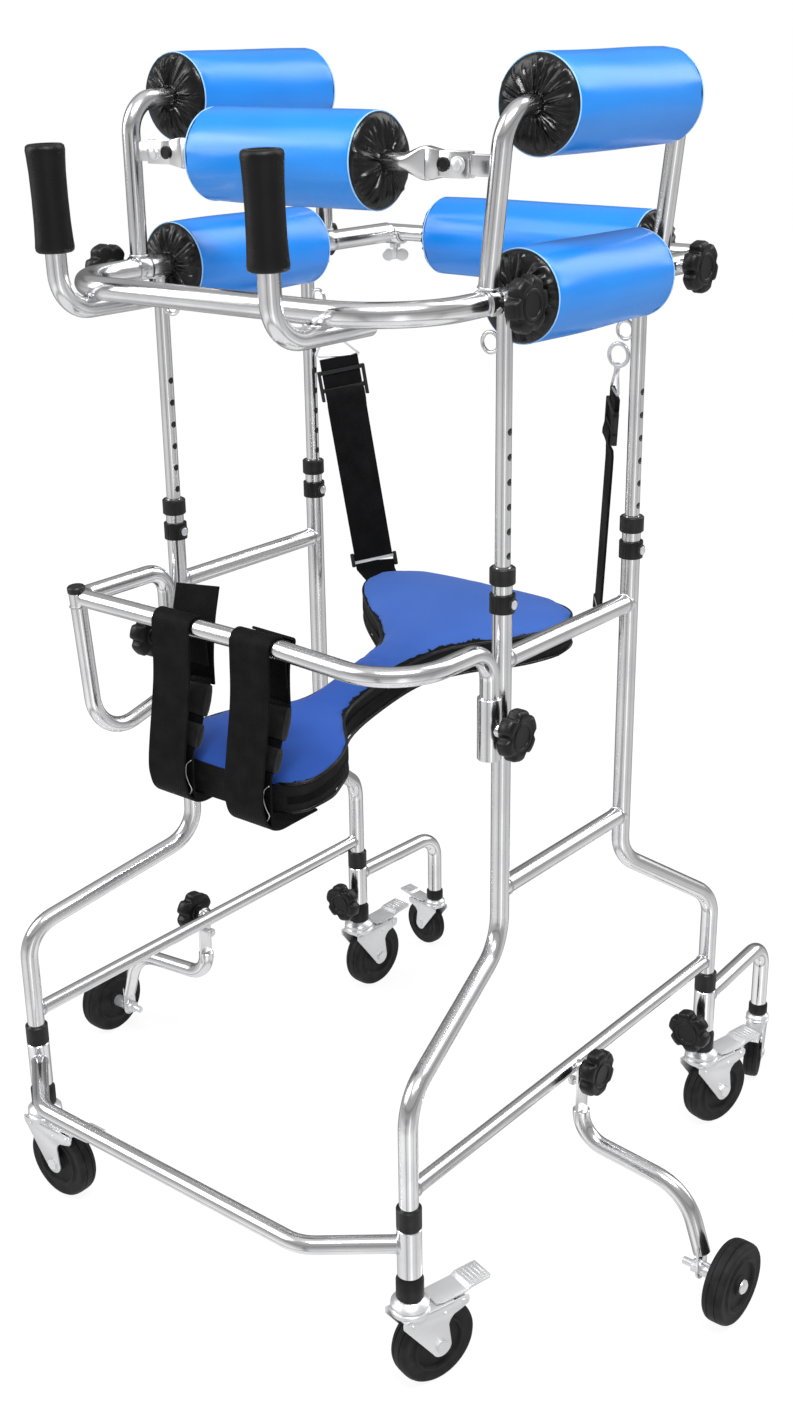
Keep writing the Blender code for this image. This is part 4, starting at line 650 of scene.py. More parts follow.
def new_object(name, shape):
    """A mesh object in the scene, from a shape."""
    mesh = bpy.data.meshes.new(name)
    shell = to_bmesh(shape)
    shell.to_mesh(mesh)
    shell.free()
    item = bpy.data.objects.new(name, mesh)
    bpy.context.scene.collection.objects.link(item)
    return item


def carved(shape, *cutters):
    """The shape less the cutters."""
    item, cutter = new_object("carving", shape), new_object("cutter", merged(*cutters))
    modifier = item.modifiers.new("cut", "BOOLEAN")
    modifier.object = cutter
    modifier.use_self = True
    result = bmesh.new()
    result.from_object(item, bpy.context.evaluated_depsgraph_get())
    for helper in (item, cutter):
        bpy.data.objects.remove(helper)
    return to_shape(result)


print("points of a bevelled block:", len(block((0, 0, 0), (1, 1, 1), 0.1)[0]))

# %% [markdown]
# ## From a shape to a piece
# A piece gets its finish, the body that it rides on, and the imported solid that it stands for. Curved
# faces are shaded smooth, and an edge stays sharp only where two faces meet at a clear angle.


def piece(name, shape, finish, body, stands_for=None, sharp=38):
    """A mesh object from a shape; one with no body stays unattached."""
    item = new_object(name, shape)
    item.data.transform(Matrix.Translation(SHIFT))
    item.data.materials.append(finish)
    item.data.shade_smooth()
    item.data.set_sharp_from_angle(angle=radians(sharp))
    if body:
        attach(item, body)
    item.visible_glossy = finish not in (blue_vinyl, blue_cloth)
    if stands_for:
        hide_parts(stands_for)
    return item


# %% [markdown]
# ## The side frames
# Each side of the rollator is a welded ladder: two posts that bend outwards into the lower legs, two
# rails between the posts and one between the legs. A thin bead runs round each weld. Black plastic
# bushes sit on the posts where the upper frame slides in, and on the legs over the sleeves.

# %% Bend the posts and weld in the rails
POST = Vector((0.2156, 0.1124, 0.768))
POST_RADIUS = 0.0095
LEG_X = 0.2655
REAR_LEG_Y = 0.2317
LEG_BEND = 0.042
FOOT_Z = 0.115
ENDS = {"front": -1, "rear": 1}
BEND_Z = {"front": (0.376, 0.321), "rear": (0.387, 0.304)}
LEG_Y = {"front": FRONT_LEG_Y, "rear": REAR_LEG_Y}
RAIL_Z = (0.677, 0.4366)
LEG_RAIL_Z = 0.221
LEG_RAIL_RADIUS = 0.008


def bead(place, axis, radius, wire=0.0011):
    """The small weld bead where one tube meets another."""
    return placed(hoop(radius, wire, 32, 8), place, axis)


def post_line(x, end):
    """Down an outer post and through its two bends to the foot."""
    upper, lower = BEND_Z[end]
    post_y = ENDS[end] * POST.y
    corners = [(x * POST.x, post_y, POST.z), (x * POST.x, post_y, upper)]
    corners += [(x * LEG_X, LEG_Y[end], lower), (x * LEG_X, LEG_Y[end], FOOT_Z)]
    return bent(corners, LEG_BEND)


for side, x in SIDES.items():
    tubes = [pipe(post_line(x, end), POST_RADIUS) for end in ENDS]
    beads = []
    for z in RAIL_Z:
        tubes.append(pipe([(x * POST.x, -POST.y, z), (x * POST.x, POST.y, z)], POST_RADIUS))
        for way in (-1, 1):
            beads.append(bead((x * POST.x, way * (POST.y - POST_RADIUS), z), (0, 1, 0), POST_RADIUS))
    leg_rail = [(x * LEG_X, y, LEG_RAIL_Z) for y in (FRONT_LEG_Y, REAR_LEG_Y)]
    tubes.append(pipe(leg_rail, LEG_RAIL_RADIUS))
    for end, way in ENDS.items():
        place = (x * LEG_X, LEG_Y[end] - way * POST_RADIUS, LEG_RAIL_Z)
        beads.append(bead(place, (0, 1, 0), LEG_RAIL_RADIUS))
    piece("side_frame_" + side, merged(*tubes), tube_steel, "base", "side_frame_" + side)
    piece("side_frame_welds_" + side, merged(*beads), weld_metal, "base")
print("height of the bends:", BEND_Z)

# %% [markdown]
# ## Sockets, bushes and plugs
# The waist bar drops into a short socket welded in front of each front post, with a boss for its
# knob. A second boss, on the lower rail, takes the knob of the side arm. The bushes and the foot
# plugs are turned shapes with a small step, as moulded ones have.

# %% Add the sockets, bushes and plugs
SOCKET_Y = -0.1317
SOCKET = (0.583, 0.6457)
SOCKET_INNER = 0.0098
SOCKET_RADIUS = 0.0118
BOSS_REACH = 0.004
BUSH_INNER = 0.008
BUSH_RIM = 0.0012
SIDE_ARM_Y = -0.047


def boss(place, axis):
    """A threaded boss for a knob's stud, from a tube's surface outwards."""
    profile = [(0.0066, -0.003), (0.0066, BOSS_REACH - 0.0006), (0.006, BOSS_REACH), (0.0034, BOSS_REACH)]
    return placed(turned(profile), place, axis)


def bush(x, y, low, high, radius=0.0123):
    """A moulded bush round a post, with rounded rims."""
    eased = radius - BUSH_RIM
    profile = [(BUSH_INNER, low), (eased, low), (radius, low + BUSH_RIM), (radius, high - BUSH_RIM)]
    profile += [(eased, high), (BUSH_INNER + BUSH_RIM, high), (BUSH_INNER, high - BUSH_RIM)]
    return placed(turned(profile), (x, y, 0))


for side, x in SIDES.items():
    low, high = SOCKET
    out = Vector((x, 0, 0))
    centre = Vector((x * POST.x, SOCKET_Y, 0))
    seams = [centre + Vector((0, 0.0103, z)) for z in (low + 0.012, high - 0.012)]
    seams = [bead(place, (0, 1, 0), 0.0052, 0.0014) for place in seams]
    tube = placed(cuff(SOCKET_INNER, SOCKET_RADIUS, low, high, 0.0007), centre)
    knob_face = centre + out * SOCKET_RADIUS + Vector((0, 0, (low + high) / 2))
    rail_face = Vector((x * (LEG_X + LEG_RAIL_RADIUS - 0.0025), SIDE_ARM_Y, LEG_RAIL_Z))
    socket = merged(tube, boss(knob_face, out), boss(rail_face, out))
    piece("waist_socket_" + side, socket, tube_steel, "base")
    piece("waist_socket_welds_" + side, merged(*seams), weld_metal, "base")
    plug = turned([(0.004, 0.1021), (0.0125, 0.1021), (0.0137, 0.1035), (0.0137, 0.1225), (0.0098, 0.128)])
    bushes = []
    for end, way in ENDS.items():
        bushes.append(bush(x * POST.x, way * POST.y, POST.z - 0.0162, POST.z + 0.0003))
        bushes.append(bush(x * LEG_X, LEG_Y[end], 0.182, 0.205, 0.0124))
        bushes.append(shifted(plug, x * LEG_X, LEG_Y[end]))
    piece("bushes_" + side, merged(*bushes), black_plastic, "base")
print("sockets from", SOCKET[0], "to", SOCKET[1], "m")

# %% [markdown]
# ## The front bow
# One bent tube joins the two front legs near the floor, and a short sleeve at each end grips the
# leg. It is drawn as one line with two bends, like the real one that comes off a bending machine.

# %% Bend the front bow
BOW_Z = 0.1625
BOW_X = 0.185
BOW_Y = -0.390
BOW_RADIUS = 0.009
SLEEVE = (0.1285, 0.1817)
SLEEVE_RADIUS = 0.0122


def sleeve(x, y):
    return shifted(cuff(POST_RADIUS, SLEEVE_RADIUS, *SLEEVE, 0.0008), x, y)


corners = [(LEG_X, FRONT_LEG_Y), (BOW_X, BOW_Y), (-BOW_X, BOW_Y), (-LEG_X, FRONT_LEG_Y)]
bow = bent([(x, y, BOW_Z) for x, y in corners], 0.045)
parts = [pipe(bow, BOW_RADIUS)] + [sleeve(x * LEG_X, FRONT_LEG_Y) for x in SIDES.values()]
piece("front_bow", merged(*parts), tube_steel, "base", "front_stretcher")
beads = []
for end, neighbour in ((bow[0], bow[1]), (bow[-1], bow[-2])):
    way = (neighbour - end).normalized()
    beads.append(bead(end + way * 0.0118, way, BOW_RADIUS))
piece("front_bow_welds", merged(*beads), weld_metal, "base")
print("points along the bow:", len(bow))

# %% [markdown]
# ## The upper frame
# A handlebar with two side rails stands on four inner posts, which slide in the side frames. Each
# inner post has a row of holes, one of which holds the spring catch. The holes are really cut, since
# they show as a row of dark dots on the outer side of every post.

# %% Bend the handlebar and drill the inner posts
RING_Z = 1.010
RAIL_RADIUS = 0.0111
INNER_RADIUS = 0.0074
INNER_FOOT_Z = 0.56
CATCH_Z = 0.7336
HOLES = 8
HOLE_PITCH = 0.023
HOLE_RADIUS = 0.0034
STRAP_EYE = 0.009
EYE_DROP = {"front": 0.038, "rear": 0.057}
HANDLEBAR_Y = -0.258
BACK_BAR_Y = 0.264
BACK_SOCKET_Y = 0.205
corners = [(POST.x, BACK_SOCKET_Y), (POST.x, HANDLEBAR_Y), (-POST.x, HANDLEBAR_Y), (-POST.x, 0.2545)]
handlebar = bent([(x, y, RING_Z) for x, y in corners], 0.085, 5)
tubes = [pipe(handlebar, RAIL_RADIUS, 32)]
beads = []
# Painted shade: a black disc sits in each hole and stands for the dark inside of the tube.
shade = placed(peg(0.0033, 0, 0.0012, 20), (0.0015, 0, 0), (1, 0, 0))
hole_shade_discs = []
for x in SIDES.values():
    for end, way in ENDS.items():
        foot, top = [Vector((x * POST.x, way * POST.y, z)) for z in (INNER_FOOT_Z, RING_Z)]
        holes = []
        for step in range(HOLES):
            start = Vector((foot.x + 0.0035, foot.y, CATCH_Z + step * HOLE_PITCH))
            holes.append(pipe([start, start + Vector((0.008, 0, 0))], HOLE_RADIUS, 16, 0.0001))
            hole_shade_discs.append(shifted(shade, *start))
        tubes.append(carved(pipe([foot, top], INNER_RADIUS), *holes))
        beads.append(bead((foot.x, foot.y, RING_Z - RAIL_RADIUS + 0.0004), (0, 0, 1), INNER_RADIUS))
        eye = (x * (POST.x - INNER_RADIUS - STRAP_EYE + 0.0012), foot.y, RING_Z - EYE_DROP[end])
        tubes.append(placed(hoop(STRAP_EYE, 0.0018, 32, 10), eye, (0, 1, 0)))
piece("post_hole_shades", merged(*hole_shade_discs), black_plastic, "upper")
print("holes in each post:", HOLES)

# %% [markdown]
# ## Grips' tubes and the saddle
# Two short tubes are welded under the handlebar and turn up into the hand grips. At the rear right
# the rail carries an open half cup, the saddle, into which the back bar drops.

# %% Weld on the grips' tubes and the saddle
GRIP_TUBE = 0.0098
RUN_Z = RING_Z - RAIL_RADIUS - GRIP_TUBE + 0.0022
GRIPS = {
    "left": {"x": 0.128, "tail": -0.192, "front": -0.3165, "foam": 1.0505},
    "right": {"x": -0.160, "tail": -0.167, "front": -0.2925, "foam": 1.0455},
}
GRIP_LENGTH = 0.0945
SADDLE = Vector((-0.2115, BACK_BAR_Y, RING_Z))
RING_KNOB_Y = {"left": (-0.124, 0.172), "right": (-0.1555, 0.172)}
seam = softened(block((-0.0022, -0.010, -0.0016), (0.0022, 0.010, 0.0016)), 0.0008)
for grip in GRIPS.values():
    x, corner = grip["x"], Vector((grip["x"], grip["front"], RUN_Z))
    top = Vector((x, grip["front"] - 0.004, grip["foam"] + GRIP_LENGTH - 0.004))
    tubes.append(pipe(bent([(x, grip["tail"], RUN_Z), corner, top], 0.036), GRIP_TUBE))
    grip["lean"] = (top - corner).normalized()
    grip["low"] = corner + grip["lean"] * (grip["foam"] - RUN_Z)
    for way in (1, -1):
        beads.append(shifted(seam, x + way * 0.0075, HANDLEBAR_Y, RING_Z - RAIL_RADIUS + 0.0005))
cup = standing(clasp(0.0134, 0.0097, 180, 360, 15, 0.012, 0.0006))
tubes.append(placed(cup, SADDLE, turn=90))
for side, x in SIDES.items():
    for y in RING_KNOB_Y[side]:
        tubes.append(boss(Vector((x * (POST.x + RAIL_RADIUS), y, RING_Z)), (x, 0, 0)))
piece("upper_frame", merged(*tubes), tube_steel, "upper", "upper_frame")
piece("upper_frame_welds", merged(*beads), weld_metal, "upper")
print("grip tubes lean by", round(degrees(GRIPS["left"]["lean"].angle(Vector((0, 0, 1)))), 1), "degrees")

# %% [markdown]
# ## Foam hand grips
# The grips are sleeves of closed-cell foam, pushed over the tube. They bulge slightly at both ends,
# where the foam is squeezed, and the top is closed and rounded.

# %% Turn the foam grips
GRIP_PROFILE = (
    (0.0094, 0.0), (0.0158, 0.0), (0.0176, 0.0016), (0.0181, 0.0045), (0.0175, 0.011), (0.0168, 0.026),
    (0.0165, 0.048), (0.0168, 0.070), (0.0176, 0.084), (0.0181, 0.0895), (0.0174, 0.0930), (0.0155, 0.0944),
    (0.0112, 0.0943), (0.0104, 0.0934), (0.0060, 0.0934), (0.0, 0.0934),
)
for side, grip in GRIPS.items():
    foam_sleeve = placed(turned(GRIP_PROFILE, 56), grip["low"], grip["lean"])
    item = piece("hand_grip_" + side, foam_sleeve, black_foam, "upper", "hand_grip_" + side, 60)
print("grip length in mm:", GRIP_LENGTH * 1000)

# %% [markdown]
# ## A padded roll
# Each roll is a foam cylinder in a vinyl cover. Its ends are closed by a ring of thin black nylon,
# which a cord draws in to the tube, so that it creases from the rim to the tube. The vinyl is a turned
# skin with a slight crown. The gathered end is a turned skin too, with a few dozen creases of random
# place, width and length, which start below the rim and grow towards the tube.


# %% Draw a roll and its gathered ends
COVER_ROWS = 24
COVER_RIM = 0.0020
GATHER_DEPTH = 0.013
GATHER_SIDES = 240
GATHER_ROWS = 20
CREASES = 34
EDGE_WIRE = 0.0007


def roll_cover(length, radius):
    """The vinyl between the two faces, turned in over the rims."""
    crown = radius * 0.02
    near = [(radius - 0.0048, 0.0012), (radius - 0.0030, 0.0002)]
    for step in range(5):
        angle = radians(-70 + 70 * step / 4)
        reach = radius - crown - COVER_RIM * (1 - cos(angle))
        near.append((reach, COVER_RIM * 0.8 * (1 + sin(angle))))
    middle = []
    for row in range(1, COVER_ROWS):
        share = row / COVER_ROWS
        bulge = crown * (1 - (2 * share - 1) ** 2)
        middle.append((radius - crown + bulge, COVER_RIM + (length - 2 * COVER_RIM) * share))
    return near + middle + [(reach, length - height) for reach, height in reversed(near)]


def puckered(profile, length, seed, sides=96):
    """A turned skin with slight dents in the vinyl towards both rims."""
    random = Random(seed)
    phases = [random.uniform(0, 2 * pi) for _ in range(6)]
    rows = []
    for reach, height in profile:
        share = height / length
        near_rim = max(0.0, abs(2 * share - 1) - 0.45) ** 2 * 2.2
        row = []
        for step in range(sides):
            angle = 2 * pi * step / sides
            dent = sin(9 * angle + phases[0]) * 0.5 + sin(14 * angle + phases[1]) * 0.35
            drift = sin(2 * angle + 5 * share + phases[2]) + 0.7 * sin(3 * angle - 7 * share + phases[3])
            size = reach + near_rim * dent * 0.0011 + drift * 0.00035
            row.append(Vector((size * cos(angle), size * sin(angle), height)))
        rows.append(row)
    return lofted(rows)


def level_ring(radius, height):
    return [Vector((u, v, height)) for u, v in circle(radius, GATHER_SIDES)]


def gathered_end(radius, neck, seed):
    """Nylon from the rim to the tube: a low dome with uneven creases, its face towards +Z."""
    random = Random(seed)
    phase = [random.uniform(0, 2 * pi) for _ in range(3)]
    creases = []
    for number in range(CREASES):
        angle = 2 * pi * (number + random.uniform(-0.4, 0.4)) / CREASES
        width, swirl = random.uniform(0.06, 0.17), random.uniform(-0.28, 0.28)
        creases.append((angle, width, swirl, random.uniform(0.05, 0.5), random.uniform(0.0012, 0.0046)))
    sides = GATHER_SIDES
    rim = radius - 0.0014
    rows = [level_ring(rim - 0.002, -0.001)]
    for row in range(GATHER_ROWS + 1):
        share = row / GATHER_ROWS
        lift = sin(pi / 2 * share) ** 0.9
        draw = cos(pi / 2 * share) ** 0.9 if row < GATHER_ROWS else 0
        heights = [0.0] * sides
        for angle, width, swirl, begin, size in creases:
            grow = min(1, max(0, share - begin * 0.8) / 0.35)
            grow = grow * grow * (3 - 2 * grow) * (1 - 0.3 * share)
            middle = (angle + swirl * share) * sides / (2 * pi)
            reach = width * sides / (2 * pi)
            for step in range(int(middle - reach), int(middle + reach) + 1):
                ridge = max(0.0, 1 - abs(step - middle) / reach)
                heights[step % sides] = max(heights[step % sides], size * grow * ridge**1.4)
        points = []
        for step in range(sides):
            angle = 2 * pi * step / sides
            slack = sin(3 * angle + phase[0]) + 0.8 * sin(5 * angle + phase[1] + 2 * share)
            slack += 0.5 * sin(8 * angle + phase[2])
            push = heights[step] - 0.0012 * min(1, 3 * share) + 0.0006 * slack * sin(pi * share)
            reach = neck + (rim - neck) * draw + push * draw * 0.5
            height = (GATHER_DEPTH * 0.84 + push) * lift
            height = min(height, GATHER_DEPTH + 0.0006)
            points.append(Vector((reach * cos(angle), reach * sin(angle), height)))
        rows.append(points)
    rows.append(level_ring(neck - 0.0028, GATHER_DEPTH * 0.5))
    return lofted(rows)


def roll(name, start, end, radius, neck, body, seed, lean=Matrix()):
    """A whole roll between two faces: cover, gathered nylon and the pale edge folded over each rim."""
    start, end = Vector(start), Vector(end)
    length = (end - start).length
    way = (end - start).normalized()
    cover = placed(puckered(roll_cover(length, radius), length, seed), start, way)
    item = piece(name, moved(cover, lean), blue_vinyl, body, name, 70)
    gathers, lines = [], []
    for number, (point, out) in enumerate(((start, -way), (end, way))):
        gathers.append(placed(gathered_end(radius, neck, seed + number + 1), point, out))
        edge_line = shifted(hoop(radius - 0.0012, EDGE_WIRE, 96, 8), z=0.0006)
        lines.append(placed(edge_line, point, out))
    gather = piece(name + "_ends", moved(merged(*gathers), lean), black_nylon, body, None, 60)
    piece(name + "_edges", moved(merged(*lines), lean), pale_edge, body, None, 60)


print("points round a gathered end:", GATHER_SIDES)

# %% [markdown]
# ## The six rolls
# Two rolls lie on the side rails for the forearms and one closes the ring at the back. Two more hang
# in the armpit frames, and one spans between those in front of the chest. The left armpit frame
# leans outwards, so its roll is turned about the rail with the same matrix.

# %% Put the rolls in place
ROLL_RADIUS = 0.043
ARMPIT_FRONT_Y = -0.139
ARMPIT_REAR_Y = 0.144
ARMPIT_TOP_Z = RING_Z + 0.161
CHEST_Z = ARMPIT_TOP_Z - 0.0475
LEAN = 6.5
FOREARM_Y = {"left": (-0.088, 0.104), "right": (-0.0912, 0.104)}
ARMPIT_Y = {"left": (-0.090, 0.110), "right": (-0.075, 0.118)}
rail_centre = Matrix.Translation((POST.x, 0, RING_Z))
leaned = {
    "left": rail_centre @ Matrix.Rotation(radians(LEAN), 4, "Y") @ rail_centre.inverted(),
    "right": Matrix(),
}
for side, x in SIDES.items():
    faces = [(x * POST.x, y, RING_Z) for y in FOREARM_Y[side]]
    roll("forearm_roll_" + side, *faces, 0.0425, 0.0128, "upper", 11 + x)
    faces = [(x * POST.x, y, ARMPIT_TOP_Z) for y in ARMPIT_Y[side]]
    roll("armpit_roll_" + side, *faces, ROLL_RADIUS, 0.0108, "armpit_" + side, 21 + x, leaned[side])
faces = [(x, ARMPIT_FRONT_Y, CHEST_Z) for x in (-0.100, 0.097)]
roll("chest_roll", *faces, ROLL_RADIUS, 0.0098, "chest", 31)
faces = [(x, BACK_BAR_Y, RING_Z) for x in (-0.137, 0.136)]
roll("back_roll", *faces, ROLL_RADIUS, 0.0112, "back", 41)

# %% [markdown]
# ## The armpit frames
# Each armpit roll hangs in a bent tube that stands on the side rail. A clamp with a split foot grips
# the rail at each end, pulled together by a small screw. The ear for the chest bar is welded to the
# front leg of the frame.

# %% Bend the armpit frames
ARMPIT_RADIUS = 0.009
CHEST_BOLT_X = {"left": 0.188, "right": -0.179}
foot_z = RING_Z + RAIL_RADIUS
leg_corners = [(ARMPIT_FRONT_Y, foot_z), (ARMPIT_FRONT_Y, ARMPIT_TOP_Z)]
leg_corners += [(ARMPIT_REAR_Y, ARMPIT_TOP_Z), (ARMPIT_REAR_Y, foot_z)]
clamp = standing(clasp(0.0142, 0.0113, -38, 218, 28, 0.008))
for side, x in SIDES.items():
    rail_x = x * POST.x
    parts = [pipe(bent([(rail_x, y, z) for y, z in leg_corners], 0.032), ARMPIT_RADIUS)]
    screws = []
    for y in (ARMPIT_FRONT_Y, ARMPIT_REAR_Y):
        parts.append(shifted(clamp, rail_x, y, RING_Z))
        screws.append(placed(peg(0.0046, 0.0118, 0.0145, 6), (rail_x, y, RING_Z), (x, 0, -0.35)))
        screws.append(bead((rail_x, y, RING_Z + 0.0135), (0, 0, 1), ARMPIT_RADIUS))
    frame_tube = moved(merged(*parts), leaned[side])
    leg_x = x * (POST.x + (CHEST_Z - RING_Z) * tan(radians(LEAN if side == "left" else 0)))
    low, high = sorted((leg_x, CHEST_BOLT_X[side] - x * 0.009))
    ear_low = (low, ARMPIT_FRONT_Y - 0.002, CHEST_Z - 0.009)
    ear = block(ear_low, (high, ARMPIT_FRONT_Y + 0.002, CHEST_Z + 0.009), 0.0012)
    name = "armpit_frame_" + side
    piece(name, merged(frame_tube, ear), tube_steel, "armpit_" + side, name)
    screws = moved(merged(*screws), leaned[side])
    piece("armpit_screws_" + side, screws, weld_metal, "armpit_" + side)
print("lean of the left armpit frame:", LEAN, "degrees")

# %% [markdown]
# ## The chest bar
# Both ends of the chest bar's tube are pressed flat into a fork, and a bolt through the right one is
# the hinge. The flat part is lofted from the round tube to a rectangle, so the press marks show.

# %% Press the forks of the chest bar
CHEST_RADIUS = 0.008
CHEEK_REACH = 0.036
EAR_HALF = 0.011
PRESS_HALF = 0.0145
FORK_HALF = 0.0048


def pressed_tube(start, end):
    """The chest bar's tube where it is pressed flat, from its round start to its flat end."""
    start, end = Vector(start), Vector(end)
    rows = []
    for share in [step / 10 for step in range(11)]:
        blend = share * share * (3 - 2 * share)
        power = 1 - 0.62 * blend
        wide = CHEST_RADIUS + (PRESS_HALF - CHEST_RADIUS) * blend
        thick = CHEST_RADIUS + (FORK_HALF - CHEST_RADIUS) * blend
        row = []
        for step in range(32):
            angle = 2 * pi * step / 32
            u = abs(cos(angle)) ** power * (1 if cos(angle) > 0 else -1)
            v = abs(sin(angle)) ** power * (1 if sin(angle) > 0 else -1)
            row.append(start.lerp(end, share) + Vector((0, thick * u, wide * v)))
        rows.append(row)
    return lofted(rows)


y = ARMPIT_FRONT_Y
washer = turned([(0, 0), (0.0072, 0), (0.0072, 0.0010), (0.0062, 0.0012), (0, 0.0012)])
head = turned([(0, 0.001), (0.0058, 0.001), (0.0058, 0.0034), (0.0048, 0.0040), (0, 0.0041)], 6)
bolt_head = merged(washer, head)
# Painted shade: this dark disc stands for the dark pocket in each fork's slot, beside the bolt.
spacer_and_slot_shade = [(0.002, 0), (0.0056, 0), (0.0062, 0.0006), (0.0062, 0.0014)]
spacer_and_slot_shade = turned(spacer_and_slot_shade + [(0.0050, 0.0020), (0.0040, 0.0012), (0.002, 0.0012)])
bar_parts, bolts, slot_shades = [], [], []
bar_parts.append(pipe([(-0.118, y, CHEST_Z), (0.127, y, CHEST_Z)], CHEST_RADIUS))
for side, x in SIDES.items():
    bolt_x = CHEST_BOLT_X[side]
    root = bolt_x - x * CHEEK_REACH
    slot_x = bolt_x - x * (EAR_HALF + 0.008)
    bar_parts.append(pressed_tube((root - x * 0.026, y, CHEST_Z), (root, y, CHEST_Z)))
    outline = [(root, -PRESS_HALF), (slot_x, -EAR_HALF), (slot_x, EAR_HALF), (root, PRESS_HALF)]
    web = standing(slab(outline[::x], -FORK_HALF, FORK_HALF, 0.001))
    bar_parts.append(shifted(web, 0, y, CHEST_Z))
    low, high = sorted((slot_x - x * 0.001, bolt_x + x * EAR_HALF))
    for way in (-1, 1):
        near, far = sorted((y + way * 0.0023, y + way * FORK_HALF))
        cheek = block((low, near, CHEST_Z - EAR_HALF), (high, far, CHEST_Z + EAR_HALF), 0.0008)
        bar_parts.append(cheek)
        bolts.append(placed(bolt_head, (bolt_x, y + way * FORK_HALF, CHEST_Z), (0, way, 0)))
    if side == "right":
        bolts.append(pipe([(bolt_x, y - 0.005, CHEST_Z), (bolt_x, y + 0.005, CHEST_Z)], 0.003))
    # The black disc beside each bolt is painted shade for the fork's dark slot.
    slot_shades.append(placed(spacer_and_slot_shade, (bolt_x - x * 0.0155, y - FORK_HALF, CHEST_Z), (0, -1, 0)))
piece("chest_bar", merged(*bar_parts), tube_steel, "chest", "chest_bar")
piece("chest_bolts", merged(*bolts), pressed_zinc, "chest")
piece("chest_slot_shades", merged(*slot_shades), black_plastic, "chest")
print("bolt to bolt in mm:", round((CHEST_BOLT_X["left"] - CHEST_BOLT_X["right"]) * 1000))

# %% [markdown]
# ## The back bar
# The back bar plugs into the left rail, where it can turn, bends once and rests in the saddle. A
# dark ring shows where the two tubes meet, and a small wing screw holds the bar down in the saddle.

# %% Bend the back bar
corners = [(POST.x, 0.175, RING_Z), (POST.x, BACK_BAR_Y, RING_Z), (SADDLE.x - 0.010, BACK_BAR_Y, RING_Z)]
line = bent(corners, 0.034)
piece("back_bar", pipe(line, 0.0092), tube_steel, "back", "back_bar")
seam = turned([(0.0094, 0), (0.0108, 0), (0.0113, 0.0008), (0.0108, 0.0018), (0.0094, 0.0018)])
seam = placed(seam, (POST.x, BACK_SOCKET_Y + 0.0002, RING_Z), (0, 1, 0))
piece("back_bar_ring", seam, black_plastic, "back")
screw = [(0, -0.031), (0.0026, -0.031), (0.0030, -0.0305), (0.0030, -0.018)]
screw = turned(screw + [(0.0058, -0.0176), (0.0062, -0.0128), (0, -0.0126)], 24)
wing = turned([(0, -0.0011), (0.0062, -0.0011), (0.0072, 0), (0.0062, 0.0011), (0, 0.0011)], 28)
wings = [placed(wing, (way * 0.0082, 0, -0.0262), (0, 1, 0)) for way in (-1, 1)]
screw = placed(merged(screw, *wings), SADDLE, turn=35)
piece("saddle_wing_screw", screw, pressed_zinc, "upper")
print("back bar length in mm:", round(sum((b - a).length for a, b in zip(line, line[1:])) * 1000))

# %% [markdown]
# ## The waist bar and its hoop
# The waist bar carries the seat's front straps. Its ends drop into the two sockets, it bows slightly
# forwards to a wide left corner, and a small hoop hangs from its right end.

# %% Bend the waist bar and the hoop
BAR_Z = 0.6945
BAR_Y = -0.254
BAR_END_Z = 0.592
BAR_RADIUS = 0.0095
HOOP_RADIUS = 0.0085
BAR_BENDS = (0.026, 0.014, 0.200, 0.060, 0.032)
corners = [(-POST.x, SOCKET_Y, BAR_END_Z), (-POST.x, SOCKET_Y, BAR_Z), (-POST.x, BAR_Y, BAR_Z)]
corners += [(0.072, BAR_Y, BAR_Z), (POST.x, -0.267, BAR_Z)]
corners += [(POST.x, SOCKET_Y, BAR_Z), (POST.x, SOCKET_Y, BAR_END_Z)]
waist_line = bent(corners, BAR_BENDS)
hoop_line = bent([(-POST.x, -0.2565, 0.704), (-POST.x, -0.2425, 0.528), (-POST.x, -0.150, 0.5515)], 0.045)
bars = merged(pipe(waist_line, BAR_RADIUS), pipe(hoop_line, HOOP_RADIUS))
piece("waist_bar", bars, tube_steel, "waist", "front_bar")
cap = [(0, -0.004), (0.0089, -0.004), (0.0093, -0.0032), (0.0093, 0.0016), (0.0082, 0.0028), (0, 0.0030)]
plug = [(0, -0.001), (0.0070, -0.001), (0.0072, 0.0002), (0.0058, 0.0008), (0, 0.0009)]
top = hoop_line[0]
down = (hoop_line[1] - top).normalized()
tail = (hoop_line[-1] - hoop_line[-2]).normalized()
plugs = merged(placed(turned(cap), top, -down), placed(turned(plug), hoop_line[-1], tail))
piece("waist_bar_plugs", plugs, black_plastic, "waist")
piece("waist_bar_weld", bead(top + down * 0.019, down, HOOP_RADIUS), weld_metal, "waist")
print("corners of the waist bar:", len(BAR_BENDS))

# %% [markdown]
# ## Star knobs and height catches
# Ten star knobs clamp the adjustable parts. Each is a scalloped plastic body on a chrome stud, with
# a raised ring in the middle of its cap. The outline is a circle with six notches, and the body is
# lofted from a few sizes of that outline, so that its lobes are rounded in every direction.

# %% Mould a star knob
KNOB_RADIUS = 0.0252
KNOB_SIDES = 84
KNOB_ROWS = (
    (0.0078, 0.60, 0.0008), (0.0080, 0.80, 0.0028), (0.0090, 0.94, 0.0046), (0.0110, 1.0, 0.0054),
    (0.0190, 1.0, 0.0054), (0.0214, 0.965, 0.0050), (0.0229, 0.90, 0.0040), (0.0237, 0.80, 0.0026),
    (0.0239, 0.66, 0.0), (0.0233, 0.63, 0.0), (0.0232, 0.57, 0.0), (0.0240, 0.545, 0.0),
    (0.0244, 0.50, 0.0), (0.0240, 0.45, 0.0), (0.0230, 0.43, 0.0), (0.0228, 0.08, 0.0),
)
ARM_KNOB_Z = 0.140


